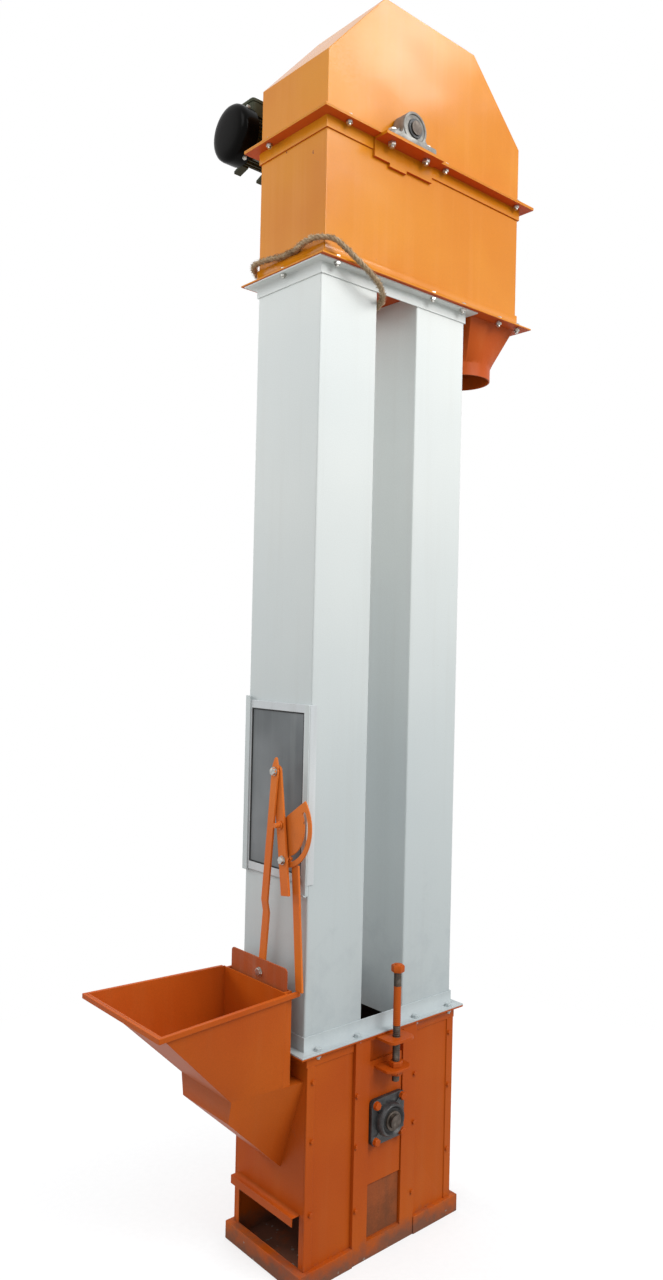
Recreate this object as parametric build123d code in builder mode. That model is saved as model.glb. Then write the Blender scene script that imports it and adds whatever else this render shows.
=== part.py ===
from build123d import *
import os
from math import radians, degrees, sin, cos, tan, atan2, sqrt, pi

# Belt bucket elevator with two casing legs, in millimetres.
# X runs along the machine from the feed hopper to the spout, -Y is the front, Z is up from the ground.
# The origin lies on the ground midway between the legs.

# Sheet and plate thicknesses
sheet = 3
flange_plate = 4
heavy_plate = 8
floor_plate = 4

# Running and fitting clearances
slide_gap = 1.5
slide_face_gap = 0.5
pass_gap = 5
bore_gap = 0.05
pin_gap = 0.3

# Casing legs
leg_inner_x = 73.5
leg_width = 190
leg_half_depth = 127
leg_outer_x = leg_inner_x + leg_width
leg_foot_z = 568
leg_length = 1932
leg_head_z = leg_foot_z + leg_length

# Flange angles on the legs
leg_flange = 27
leg_flange_rise = 40
leg_flange_drop = 32

# Boot box under the legs
boot_half_length = leg_outer_x
boot_side_out = 12
boot_half_depth = leg_half_depth + boot_side_out
boot_flange_drop = 30
corner_strip = 25
corner_strip_thick = 3
skirt_height = 46
skirt_side = 13
skirt_end = 20

# Take-up bays on the front and back of the boot
bay_half_width = 60
guide_width = 50
guide_thick = 10
sill_height = 45
slide_thick = 6
slide_bottom = 186
slide_top = 500
takeup_travel = 50
tail_z = 345

# Take-up screw
screw_out = 36
screw_radius = 10
screw_bottom = 450
screw_top = 728
screw_head_height = 18
screw_head_size = 30
nut_size = 30
nut_height = 14
upper_bracket_z = 556
lower_bracket_z = 480
bracket_half_width = 42
bracket_thick = 7
bracket_depth = 62
bracket_corner = 16

# Shafts, bearings and pulleys
shaft_radius = 17.5
flange_bearing_size = 117
flange_bearing_thick = 15
flange_bearing_depth = 34
flange_bearing_corner = 14
flange_bearing_boss = 44
insert_radius = 34
insert_race = 7
insert_recess = 3
rib_middle = 51
rib_length = 32
rib_width = 11
rib_height = 4
pillow_height = 43
pillow_base_length = 167
pillow_base_width = 48
pillow_base_thick = 17
pillow_ring_radius = 42
pillow_body_depth = 36
pillow_waist_half = 50
pillow_wall_gap = 2
pillow_bolt_pitch = 127
pillow_bolt_radius = 7
shaft_end_reach = 8
pulley_radius = 130
pulley_half_width = 105
pulley_rim = 6
pulley_disc = 6
pulley_disc_inset = 20
pulley_hub_radius = 34
pulley_hub_length = 34

# Belt and buckets
belt_thick = 5
belt_half_width = 100
belt_gap = 0.4
bucket_half_width = 95
bucket_reach = 85
bucket_height = 92
bucket_lip = 40
bucket_foot = 34
bucket_wall = 3
buckets_per_run = 13
buckets_per_turn = 3

# Head box and hood
head_left_x = -260.5
head_right_x = 484.5
head_half_depth = 132
head_flange = 33
head_flange_drop = 34
head_foot_rise = 42
head_height = 357
hood_left_wall = 161
hood_right_wall = 175
hood_rise = 194
hood_left_run = 188.5
hood_right_run = 208.5
hood_base_z = leg_head_z + head_height
hood_left_shoulder_z = hood_base_z + hood_left_wall
hood_right_shoulder_z = hood_base_z + hood_right_wall
hood_top_z = hood_right_shoulder_z + hood_rise
hood_top_left_x = head_left_x + hood_left_run
hood_top_right_x = head_right_x - hood_right_run

# Bearing brackets on the head box
bracket_seat_half = 106
bracket_seat_depth = 52
bracket_seat_drop = 42
bracket_step_left = -52
bracket_step_right = 10
bracket_step_drop = 9
seat_step = 6

# Discharge spout under the head box
spout_left_x = leg_outer_x + leg_flange + 2
spout_x = 392
spout_radius = 90
spout_taper = 112
spout_stub = 36

# Feed hopper, gate chute and inlet neck
rim_z = 727
rim_flange = 8
rim_thick = 12
rim_tail = 38
hopper_gap = 60.5
hopper_back_x = -leg_outer_x - hopper_gap
hopper_back_half = 131
hopper_length = 368
mouth_x = hopper_back_x - hopper_length
mouth_half = 164
chute_run = 198
knee_x = -boot_half_length - chute_run
knee_z = 500
knee_half = 105
knee_drop = 54
knee_low_half = 96
neck_side = 11
neck_top_half = boot_half_depth - neck_side
neck_low_half = 46
neck_floor_z = 262
back_plate_half = 121

# Feed gate and its guides
gate_thick = 4
gate_face_gap = 9
gate_x = hopper_back_x + sheet + gate_face_gap
gate_half = 113
gate_top_z = 779
gate_travel = 170
gate_guide_thick = 4
gate_guide_lip = 12

# Gate lever, link and quadrant
lever_pivot_y = -71
lever_pivot_z = 1119
lever_tilt = 8
lever_arm = 131
lever_tail = 170
lever_width = 30
lever_thick = 6
lever_eye = 15
link_width = 24
link_joggle = 8
link_joggle_z = 912
link_joggle_run = 30
lever_side_gap = 1
link_foot_y = -5
link_foot_drop = 34
pin_radius = 6
pin_head_radius = 10
pin_head = 6
foot_head = 4
pivot_reach = 18
collar_thick = 3
slot_radius = 84
slot_width = 13
quadrant_radius = 104
quadrant_thick = 4
quadrant_start = -6
quadrant_end = 124
slot_start = 2
slot_end = 114
post_width = 25
post_thick = 6
post_top_y = -112
post_foot_y = -137

# Cleanout mouth at the foot of the inlet wall
cleanout_side = 17
cleanout_half = boot_half_depth - cleanout_side
cleanout_bottom = 46
cleanout_top = 176
lip_half = cleanout_half + sheet
lip_out = 26
lip_drop = 22

# Inspection hatch on the inlet leg
hatch_bottom = 996
hatch_top = 1394
hatch_half = 106
hatch_frame = 20
hatch_frame_thick = 6
hatch_panel_thick = 3
hatch_wrap = 16

# Gear reducer and motor on the back of the head shaft
reducer_y = 270
reducer_half_width = 56
reducer_half_length = 72
reducer_under = 72
worm_rise = 63
worm_housing_radius = 52
motor_flange_radius = 90
motor_flange_thick = 12
motor_radius = 62
motor_length = 141
fan_cover_radius = 77
fan_cover_length = 55
fan_cover_round = 14
terminal_length = 86
terminal_half = 45
terminal_height = 38
bracket_wall_drop = 150
gusset_thick = 6

# Rope sling left lying on the lower head flange
rope_radius = 7
rope_gap_drop = 58

# Levels and places that follow from the values above
seat_z = hood_base_z + flange_plate - seat_step
head_z = seat_z + pillow_height
worm_z = head_z + worm_rise
bay_face = boot_half_depth + guide_thick
slide_face = boot_half_depth + slide_face_gap + slide_thick
screw_y = slide_face + screw_out
front_seat = head_half_depth + pillow_wall_gap + pillow_base_width / 2
belt_radius = pulley_radius + belt_gap
bucket_pitch = (head_z - tail_z) / buckets_per_run
link_x = gate_x + gate_thick + slide_face_gap
link_top_x = link_x - link_joggle
lever_x = link_top_x + lever_thick + lever_side_gap
quadrant_x = lever_x + lever_thick + pass_gap

os.makedirs("parts", exist_ok=True)


# Boot floor and skirt
with BuildPart() as base_frame:
    with BuildSketch(Plane.XY):
        Rectangle(2 * (boot_half_length + skirt_end), 2 * (boot_half_depth + skirt_side))
    extrude(amount=floor_plate)
    with BuildSketch(Plane.XY):
        Rectangle(2 * (boot_half_length + skirt_end), 2 * (boot_half_depth + skirt_side))
        Rectangle(2 * (boot_half_length + skirt_end - sheet),
                  2 * (boot_half_depth + skirt_side - sheet), mode=Mode.SUBTRACT)
    extrude(amount=skirt_height)
    with BuildSketch(Plane.XY.offset(skirt_height - sheet)):
        Rectangle(2 * (boot_half_length + skirt_end), 2 * (boot_half_depth + skirt_side))
        Rectangle(2 * boot_half_length, 2 * boot_half_depth, mode=Mode.SUBTRACT)
    extrude(amount=sheet)
    bay_cut = 2 * (bay_half_width + guide_width)
    with BuildSketch(Plane.XY):
        with Locations((0, boot_half_depth + skirt_side), (0, -boot_half_depth - skirt_side)):
            Rectangle(bay_cut, 2 * skirt_side)
    extrude(amount=skirt_height, mode=Mode.SUBTRACT)
base_frame.part.label = "base_frame"
export_step(base_frame.part, "parts/base_frame.step")

# Boot front wall with the slot for the tail shaft
slot_half = shaft_radius + pass_gap
with BuildPart() as boot_front_wall:
    with BuildSketch(Plane.XZ.offset(boot_half_depth - sheet)):
        with Locations((0, (floor_plate + leg_foot_z) / 2)):
            Rectangle(2 * boot_half_length, leg_foot_z - floor_plate)
        with Locations((0, tail_z + takeup_travel / 2)):
            SlotCenterToCenter(takeup_travel, 2 * slot_half, rotation=90, mode=Mode.SUBTRACT)
    extrude(amount=sheet)
    strip_x = boot_half_length - corner_strip / 2
    strip_height = leg_foot_z - boot_flange_drop - skirt_height
    strip_z = skirt_height + strip_height / 2
    with BuildSketch(Plane.XZ.offset(boot_half_depth)):
        with Locations((strip_x, strip_z), (-strip_x, strip_z)):
            Rectangle(corner_strip, strip_height)
    extrude(amount=corner_strip_thick)
boot_front_wall.part.label = "boot_front_wall"
export_step(boot_front_wall.part, "parts/boot_front_wall.step")

with BuildPart() as boot_back_wall:
    add(boot_front_wall.part.mirror(Plane.XZ))
boot_back_wall.part.label = "boot_back_wall"
export_step(boot_back_wall.part, "parts/boot_back_wall.step")

# Sections of the chute where it crosses a plane of constant X


def chute_share(x):
    return (x - knee_x) / chute_run


def chute_low_z(x):
    return knee_z - knee_drop - chute_share(x) * (knee_z - knee_drop - neck_floor_z)


def chute_top_half(x):
    return knee_half - chute_share(x) * (knee_half - neck_top_half)


def chute_low_half(x):
    return knee_low_half - chute_share(x) * (knee_low_half - neck_low_half)


# Inlet wall of the boot with the feed mouth above and, below, the cleanout mouth under its folded lip
inner_depth = boot_half_depth - sheet
with BuildPart() as boot_inlet_wall:
    with BuildSketch(Plane.YZ.offset(-boot_half_length)):
        with Locations((0, (floor_plate + leg_foot_z) / 2)):
            Rectangle(2 * inner_depth, leg_foot_z - floor_plate)
        with BuildLine():
            Polyline((sheet - neck_low_half, neck_floor_z + sheet),
                     (neck_low_half - sheet, neck_floor_z + sheet),
                     (neck_top_half - sheet, knee_z - sheet),
                     (sheet - neck_top_half, knee_z - sheet), close=True)
        make_face(mode=Mode.SUBTRACT)
        with Locations((0, (cleanout_bottom + cleanout_top) / 2)):
            Rectangle(2 * cleanout_half, cleanout_top - cleanout_bottom, mode=Mode.SUBTRACT)
    extrude(amount=sheet)
    with BuildSketch(Plane.XZ.offset(-lip_half)):
        with BuildLine():
            Polyline((-boot_half_length, cleanout_top), (-boot_half_length, cleanout_top + sheet),
                     (-boot_half_length - lip_out, cleanout_top + sheet),
                     (-boot_half_length - lip_out, cleanout_top + sheet - lip_drop),
                     (-boot_half_length - lip_out + sheet, cleanout_top + sheet - lip_drop),
                     (-boot_half_length - lip_out + sheet, cleanout_top), close=True)
        make_face()
    extrude(amount=2 * lip_half)
boot_inlet_wall.part.label = "boot_inlet_wall"
export_step(boot_inlet_wall.part, "parts/boot_inlet_wall.step")

with BuildPart() as boot_end_wall:
    with BuildSketch(Plane.YZ.offset(boot_half_length - sheet)):
        with Locations((0, (floor_plate + leg_foot_z) / 2)):
            Rectangle(2 * inner_depth, leg_foot_z - floor_plate)
    extrude(amount=sheet)
boot_end_wall.part.label = "boot_end_wall"
export_step(boot_end_wall.part, "parts/boot_end_wall.step")

# Flange angle around the top of the boot
flange_half_x = leg_outer_x + leg_flange
flange_half_y = leg_half_depth + leg_flange
with BuildPart() as boot_top_flange:
    with BuildSketch(Plane.XY.offset(leg_foot_z - flange_plate)):
        Rectangle(2 * flange_half_x, 2 * flange_half_y)
        Rectangle(2 * boot_half_length, 2 * boot_half_depth, mode=Mode.SUBTRACT)
    extrude(amount=flange_plate)
    with BuildSketch(Plane.XY.offset(leg_foot_z - boot_flange_drop)):
        Rectangle(2 * (boot_half_length + sheet), 2 * (boot_half_depth + sheet))
        Rectangle(2 * boot_half_length, 2 * boot_half_depth, mode=Mode.SUBTRACT)
    extrude(amount=boot_flange_drop - flange_plate)
    with BuildSketch(Plane.XY.offset(leg_foot_z - boot_flange_drop)):
        with Locations((0, boot_half_depth + guide_thick / 2), (0, -boot_half_depth - guide_thick / 2)):
            Rectangle(bay_cut, guide_thick)
    extrude(amount=boot_flange_drop - flange_plate, mode=Mode.SUBTRACT)
boot_top_flange.part.label = "boot_top_flange"
export_step(boot_top_flange.part, "parts/boot_top_flange.step")

# Take-up bay on the front: two guide bars, a sill plate and the fixed screw bracket
bay_top = leg_foot_z - flange_plate
bar_x = bay_half_width + guide_width / 2
with BuildPart() as takeup_guides_front:
    with BuildSketch(Plane.XZ.offset(boot_half_depth)):
        with Locations((bar_x, bay_top / 2), (-bar_x, bay_top / 2)):
            Rectangle(guide_width, bay_top)
        with Locations((0, sill_height / 2)):
            Rectangle(2 * bay_half_width, sill_height)
    extrude(amount=guide_thick)
    with BuildSketch(Plane.XY.offset(upper_bracket_z)):
        with Locations((0, -bay_face - bracket_depth / 2)):
            Rectangle(2 * bracket_half_width, bracket_depth)
        fillet(vertices().group_by(Axis.Y)[0], radius=bracket_corner)
        with Locations((0, -bay_face + guide_thick / 4)):
            Rectangle(2 * bay_half_width + guide_width, guide_thick / 2)
        with Locations((0, -screw_y)):
            Circle(screw_radius + pin_gap, mode=Mode.SUBTRACT)
    extrude(amount=bracket_thick)
takeup_guides_front.part.label = "takeup_guides_front"
export_step(takeup_guides_front.part, "parts/takeup_guides_front.step")

with BuildPart() as takeup_guides_back:
    add(takeup_guides_front.part.mirror(Plane.XZ))
takeup_guides_back.part.label = "takeup_guides_back"
export_step(takeup_guides_back.part, "parts/takeup_guides_back.step")

# Sliding plate that carries the tail bearing, with the lug for its screw
slide_half = bay_half_width - slide_gap
with BuildPart() as takeup_slide_front:
    with BuildSketch(Plane.XZ.offset(boot_half_depth + slide_face_gap)):
        with Locations((0, (slide_bottom + slide_top) / 2)):
            Rectangle(2 * slide_half, slide_top - slide_bottom)
        with Locations((0, tail_z)):
            Circle(slot_half, mode=Mode.SUBTRACT)
    extrude(amount=slide_thick)
    with BuildSketch(Plane.XY.offset(lower_bracket_z)):
        with Locations((0, -slide_face - bracket_depth / 2)):
            Rectangle(2 * bracket_half_width, bracket_depth)
        chamfer(vertices().group_by(Axis.Y)[0], length=bracket_corner)
        with Locations((0, -screw_y)):
            Circle(screw_radius + pin_gap, mode=Mode.SUBTRACT)
    extrude(amount=bracket_thick)
takeup_slide_front.part.label = "takeup_slide_front"
export_step(takeup_slide_front.part, "parts/takeup_slide_front.step")

with BuildPart() as takeup_slide_back:
    add(takeup_slide_front.part.mirror(Plane.XZ))
takeup_slide_back.part.label = "takeup_slide_back"
export_step(takeup_slide_back.part, "parts/takeup_slide_back.step")

# Screw with its head and the two nuts that hold the lug
with BuildPart() as takeup_screw_front:
    with BuildSketch(Plane.XY.offset(screw_bottom)):
        with Locations((0, -screw_y)):
            Circle(screw_radius)
    extrude(amount=screw_top - screw_bottom)
    with BuildSketch(Plane.XY.offset(screw_top)):
        with Locations((0, -screw_y)):
            RegularPolygon(screw_head_size / 2, 6, major_radius=False)
    extrude(amount=screw_head_height)
    for nut_z in (lower_bracket_z - nut_height, lower_bracket_z + bracket_thick):
        with BuildSketch(Plane.XY.offset(nut_z)):
            with Locations((0, -screw_y)):
                RegularPolygon(nut_size / 2, 6, major_radius=False)
        extrude(amount=nut_height)
takeup_screw_front.part.label = "takeup_screw_front"
export_step(takeup_screw_front.part, "parts/takeup_screw_front.step")

with BuildPart() as takeup_screw_back:
    add(takeup_screw_front.part.mirror(Plane.XZ))
takeup_screw_back.part.label = "takeup_screw_back"
export_step(takeup_screw_back.part, "parts/takeup_screw_back.step")

# Square flange bearing of the tail shaft
with BuildPart() as tail_bearing_front:
    with BuildSketch(Plane.XZ.offset(slide_face)):
        with Locations((0, tail_z)):
            RectangleRounded(flange_bearing_size, flange_bearing_size, flange_bearing_corner)
    extrude(amount=flange_bearing_thick)
    with BuildSketch(Plane.XZ.offset(slide_face + flange_bearing_thick)):
        with Locations((0, tail_z)):
            Circle(flange_bearing_boss)
    extrude(amount=flange_bearing_depth - flange_bearing_thick, taper=8)
    with BuildSketch(Plane.XZ.offset(slide_face + flange_bearing_depth - insert_recess)):
        with Locations((0, tail_z)):
            Circle(insert_radius)
            Circle(shaft_radius + insert_race, mode=Mode.SUBTRACT)
    extrude(amount=insert_recess, mode=Mode.SUBTRACT)
    with BuildSketch(Plane.XZ.offset(slide_face + flange_bearing_thick)):
        with Locations((0, tail_z)), PolarLocations(rib_middle, 4, start_angle=45):
            Rectangle(rib_length, rib_width)
    extrude(amount=rib_height)
    with BuildSketch(Plane.XZ.offset(slide_face)):
        with Locations((0, tail_z)):
            Circle(shaft_radius + bore_gap)
    extrude(amount=flange_bearing_depth, mode=Mode.SUBTRACT)
tail_bearing_front.part.label = "tail_bearing_front"
export_step(tail_bearing_front.part, "parts/tail_bearing_front.step")

with BuildPart() as tail_bearing_back:
    add(tail_bearing_front.part.mirror(Plane.XZ))
tail_bearing_back.part.label = "tail_bearing_back"
export_step(tail_bearing_back.part, "parts/tail_bearing_back.step")

# Tail pulley on its shaft
tail_shaft_half = slide_face + flange_bearing_depth + shaft_end_reach
with BuildPart() as tail_pulley:
    with BuildSketch(Plane.XZ.offset(-pulley_half_width)):
        with Locations((0, tail_z)):
            Circle(pulley_radius)
            Circle(pulley_radius - pulley_rim, mode=Mode.SUBTRACT)
    extrude(amount=2 * pulley_half_width)
    for disc_y in (pulley_half_width - pulley_disc_inset, -pulley_half_width + pulley_disc_inset):
        with BuildSketch(Plane.XZ.offset(-disc_y)):
            with Locations((0, tail_z)):
                Circle(pulley_radius - pulley_rim / 2)
        extrude(amount=pulley_disc / 2, both=True)
        with BuildSketch(Plane.XZ.offset(-disc_y)):
            with Locations((0, tail_z)):
                Circle(pulley_hub_radius)
        extrude(amount=pulley_hub_length / 2, both=True)
    with BuildSketch(Plane.XZ.offset(-tail_shaft_half)):
        with Locations((0, tail_z)):
            Circle(shaft_radius)
    extrude(amount=2 * tail_shaft_half)
tail_pulley.part.label = "tail_pulley"
export_step(tail_pulley.part, "parts/tail_pulley.step")

# Head pulley on its shaft, whose back end runs through the gear reducer
head_front_reach = front_seat + pillow_body_depth / 2 + shaft_end_reach
head_back_reach = reducer_y + reducer_half_width + shaft_end_reach
with BuildPart() as head_pulley:
    with BuildSketch(Plane.XZ.offset(-pulley_half_width)):
        with Locations((0, head_z)):
            Circle(pulley_radius)
            Circle(pulley_radius - pulley_rim, mode=Mode.SUBTRACT)
    extrude(amount=2 * pulley_half_width)
    for disc_y in (pulley_half_width - pulley_disc_inset, -pulley_half_width + pulley_disc_inset):
        with BuildSketch(Plane.XZ.offset(-disc_y)):
            with Locations((0, head_z)):
                Circle(pulley_radius - pulley_rim / 2)
        extrude(amount=pulley_disc / 2, both=True)
        with BuildSketch(Plane.XZ.offset(-disc_y)):
            with Locations((0, head_z)):
                Circle(pulley_hub_radius)
        extrude(amount=pulley_hub_length / 2, both=True)
    with BuildSketch(Plane.XZ.offset(-head_back_reach)):
        with Locations((0, head_z)):
            Circle(shaft_radius)
    extrude(amount=head_back_reach + head_front_reach)
head_pulley.part.label = "head_pulley"
export_step(head_pulley.part, "parts/head_pulley.step")

# Belt loop with its buckets, evenly spaced along the two runs and round the pulleys
belt_outer = belt_radius + belt_thick
with BuildPart() as bucket_belt:
    with BuildSketch(Plane.XZ.offset(-belt_half_width)):
        with Locations((0, (head_z + tail_z) / 2)):
            SlotCenterToCenter(head_z - tail_z, 2 * belt_outer, rotation=90)
            SlotCenterToCenter(head_z - tail_z, 2 * belt_radius, rotation=90, mode=Mode.SUBTRACT)
    extrude(amount=2 * belt_half_width)
bucket_belt.part.label = "bucket_belt"
export_step(bucket_belt.part, "parts/bucket_belt.step")

# One bucket is drawn on the up-going run at height zero, then copied along the loop
with BuildPart() as bucket_form:
    with BuildSketch(Plane.XZ.offset(-bucket_half_width)):
        with BuildLine():
            Polyline((-belt_outer, 0), (-belt_outer - bucket_foot, 0),
                     (-belt_outer - bucket_reach, bucket_height - bucket_lip),
                     (-belt_outer - bucket_reach, bucket_height - bucket_lip / 2),
                     (-belt_outer, bucket_height), close=True)
        make_face()
    extrude(amount=2 * bucket_half_width)
    with BuildSketch(Plane.XZ.offset(-bucket_half_width + bucket_wall)):
        with BuildLine():
            Polyline((-belt_outer - bucket_wall, bucket_wall), (-belt_outer - bucket_foot, bucket_wall),
                     (-belt_outer - bucket_reach + bucket_wall, bucket_height - bucket_lip),
                     (-belt_outer - bucket_reach + bucket_wall, bucket_height + bucket_wall),
                     (-belt_outer - bucket_wall, bucket_height + bucket_wall), close=True)
        make_face()
    extrude(amount=2 * (bucket_half_width - bucket_wall), mode=Mode.SUBTRACT)

bucket_places = []
for step in range(buckets_per_run):
    run_z = tail_z + (step + 0.5) * bucket_pitch - bucket_height / 2
    bucket_places.append(Location((0, 0, run_z)))
    bucket_places.append(Location((0, 0, head_z + tail_z - run_z), (0, 180, 0)))
for step in range(buckets_per_turn):
    turn = 180 * (step + 0.5) / buckets_per_turn
    bucket_places.append(Location((0, 0, head_z), (0, turn, 0)) * Location((0, 0, -bucket_height / 2)))
    bucket_places.append(Location((0, 0, tail_z), (0, turn + 180, 0)) * Location((0, 0, -bucket_height / 2)))
with BuildPart() as buckets:
    for place in bucket_places:
        add(bucket_form.part.moved(place))
buckets.part.label = "buckets"
export_step(buckets.part, "parts/buckets.step")

# Casing legs, open at both ends
leg_x = leg_inner_x + leg_width / 2
with BuildPart() as inlet_leg:
    with BuildSketch(Plane.XY.offset(leg_foot_z)):
        with Locations((-leg_x, 0)):
            Rectangle(leg_width, 2 * leg_half_depth)
            Rectangle(leg_width - 2 * sheet, 2 * (leg_half_depth - sheet), mode=Mode.SUBTRACT)
    extrude(amount=leg_head_z - leg_foot_z)
inlet_leg.part.label = "inlet_leg"
export_step(inlet_leg.part, "parts/inlet_leg.step")

with BuildPart() as return_leg:
    add(inlet_leg.part.mirror(Plane.YZ))
return_leg.part.label = "return_leg"
export_step(return_leg.part, "parts/return_leg.step")

# Flange angles round the foot and the head of the legs
with BuildPart() as leg_foot_flange:
    with BuildSketch(Plane.XY.offset(leg_foot_z)):
        Rectangle(2 * flange_half_x, 2 * flange_half_y)
        Rectangle(2 * leg_outer_x, 2 * leg_half_depth, mode=Mode.SUBTRACT)
    extrude(amount=flange_plate)
    with BuildSketch(Plane.XY.offset(leg_foot_z + flange_plate)):
        Rectangle(2 * (leg_outer_x + sheet), 2 * (leg_half_depth + sheet))
        Rectangle(2 * leg_outer_x, 2 * leg_half_depth, mode=Mode.SUBTRACT)
    extrude(amount=leg_flange_rise - flange_plate)
leg_foot_flange.part.label = "leg_foot_flange"
export_step(leg_foot_flange.part, "parts/leg_foot_flange.step")

with BuildPart() as leg_head_flange:
    with BuildSketch(Plane.XY.offset(leg_head_z - flange_plate)):
        Rectangle(2 * flange_half_x, 2 * flange_half_y)
        Rectangle(2 * leg_outer_x, 2 * leg_half_depth, mode=Mode.SUBTRACT)
    extrude(amount=flange_plate)
    with BuildSketch(Plane.XY.offset(leg_head_z - leg_flange_drop)):
        Rectangle(2 * (leg_outer_x + sheet), 2 * (leg_half_depth + sheet))
        Rectangle(2 * leg_outer_x, 2 * leg_half_depth, mode=Mode.SUBTRACT)
    extrude(amount=leg_flange_drop - flange_plate)
leg_head_flange.part.label = "leg_head_flange"
export_step(leg_head_flange.part, "parts/leg_head_flange.step")

# Inspection hatch: a frame whose near side laps round the corner of the leg, and its panel
hatch_z = (hatch_bottom + hatch_top) / 2
hatch_height = hatch_top - hatch_bottom
frame_half = leg_half_depth + sheet
with BuildPart() as hatch_frame_plate:
    with BuildSketch(Plane.YZ.offset(-leg_outer_x)):
        with Locations((0, hatch_z)):
            Rectangle(2 * frame_half, hatch_height + 2 * hatch_frame)
            Rectangle(2 * hatch_half, hatch_height, mode=Mode.SUBTRACT)
    extrude(amount=-hatch_frame_thick)
    for side in (1, -1):
        with BuildSketch(Plane.YZ.offset(-leg_outer_x)):
            with Locations((side * (leg_half_depth + sheet / 2), hatch_z)):
                Rectangle(sheet, hatch_height + 2 * hatch_frame)
        extrude(amount=hatch_wrap)
hatch_frame_plate.part.label = "hatch_frame"
export_step(hatch_frame_plate.part, "parts/hatch_frame.step")

with BuildPart() as hatch_panel:
    with BuildSketch(Plane.YZ.offset(-leg_outer_x)):
        with Locations((0, hatch_z)):
            Rectangle(2 * hatch_half, hatch_height)
    extrude(amount=-hatch_panel_thick)
hatch_panel.part.label = "hatch_panel"
export_step(hatch_panel.part, "parts/hatch_panel.step")

# Head box: four walls, a floor with the two leg mouths and the spout mouth, and the lower flange angle
head_mid_x = (head_left_x + head_right_x) / 2
head_length = head_right_x - head_left_x
spout_right_x = head_right_x - sheet
mouth_mid_x = (spout_left_x + spout_right_x) / 2
mouth_length = spout_right_x - spout_left_x - 2 * sheet
with BuildPart() as head_box:
    with BuildSketch(Plane.XY.offset(leg_head_z)):
        with Locations((head_mid_x, 0)):
            Rectangle(head_length, 2 * head_half_depth)
            Rectangle(head_length - 2 * sheet, 2 * (head_half_depth - sheet), mode=Mode.SUBTRACT)
    extrude(amount=hood_base_z - leg_head_z)
    with BuildSketch(Plane.XY.offset(leg_head_z)):
        with Locations((head_mid_x, 0)):
            Rectangle(head_length - 2 * sheet, 2 * (head_half_depth - sheet))
        with Locations((leg_x, 0), (-leg_x, 0)):
            Rectangle(leg_width - 2 * sheet, 2 * (leg_half_depth - sheet), mode=Mode.SUBTRACT)
        with Locations((mouth_mid_x, 0)):
            Rectangle(mouth_length, 2 * (leg_half_depth - sheet), mode=Mode.SUBTRACT)
    extrude(amount=sheet)
    with BuildSketch(Plane.XY.offset(leg_head_z)):
        with Locations((head_mid_x, 0)):
            Rectangle(head_length + 2 * head_flange, 2 * (head_half_depth + head_flange))
            Rectangle(head_length, 2 * head_half_depth, mode=Mode.SUBTRACT)
    extrude(amount=flange_plate)
    with BuildSketch(Plane.XY.offset(leg_head_z)):
        with Locations((head_mid_x, 0)):
            Rectangle(head_length + 2 * flange_plate, 2 * (head_half_depth + flange_plate))
            Rectangle(head_length, 2 * head_half_depth, mode=Mode.SUBTRACT)
    extrude(amount=head_foot_rise)
head_box.part.label = "head_box"
export_step(head_box.part, "parts/head_box.step")

# Flange angle round the top of the head box, cut away where the bearing brackets are let in
bracket_notch = 2 * (bracket_seat_half + 1)
with BuildPart() as head_top_angle:
    with BuildSketch(Plane.XY.offset(hood_base_z - flange_plate)):
        with Locations((head_mid_x, 0)):
            Rectangle(head_length + 2 * head_flange, 2 * (head_half_depth + head_flange))
            Rectangle(head_length, 2 * head_half_depth, mode=Mode.SUBTRACT)
    extrude(amount=flange_plate)
    with BuildSketch(Plane.XY.offset(hood_base_z - head_flange_drop)):
        with Locations((head_mid_x, 0)):
            Rectangle(head_length + 2 * flange_plate, 2 * (head_half_depth + flange_plate))
            Rectangle(head_length, 2 * head_half_depth, mode=Mode.SUBTRACT)
    extrude(amount=head_flange_drop - flange_plate)
    with BuildSketch(Plane.XY.offset(hood_base_z - head_flange_drop)):
        with Locations((0, head_half_depth + head_flange / 2), (0, -head_half_depth - head_flange / 2)):
            Rectangle(bracket_notch, head_flange)
    extrude(amount=head_flange_drop, mode=Mode.SUBTRACT)
head_top_angle.part.label = "head_top_angle"
export_step(head_top_angle.part, "parts/head_top_angle.step")

# Hood with its sloping shoulders, open below, slotted for the head shaft
with BuildPart() as hood:
    with BuildSketch(Plane.XZ.offset(-head_half_depth)):
        with BuildLine():
            Polyline((head_left_x, hood_base_z), (head_left_x, hood_left_shoulder_z),
                     (hood_top_left_x, hood_top_z), (hood_top_right_x, hood_top_z),
                     (head_right_x, hood_right_shoulder_z), (head_right_x, hood_base_z), close=True)
        make_face()
    extrude(amount=2 * head_half_depth)
    open_face = hood.faces().sort_by(Axis.Z)[0]
    offset(amount=-sheet, openings=open_face)
    with BuildSketch(Plane.XZ):
        with Locations((0, head_z)):
            Circle(slot_half)
        with Locations((0, (head_z + hood_base_z) / 2)):
            Rectangle(2 * slot_half, head_z - hood_base_z)
    extrude(amount=head_half_depth, both=True, mode=Mode.SUBTRACT)
    with BuildSketch(Plane.XY.offset(hood_base_z)):
        with Locations((head_mid_x, 0)):
            Rectangle(head_length + 2 * head_flange, 2 * (head_half_depth + head_flange))
            Rectangle(head_length, 2 * head_half_depth, mode=Mode.SUBTRACT)
        with Locations((0, head_half_depth + head_flange / 2), (0, -head_half_depth - head_flange / 2)):
            Rectangle(bracket_notch, head_flange, mode=Mode.SUBTRACT)
    extrude(amount=flange_plate)
hood.part.label = "hood"
export_step(hood.part, "parts/hood.step")

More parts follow.
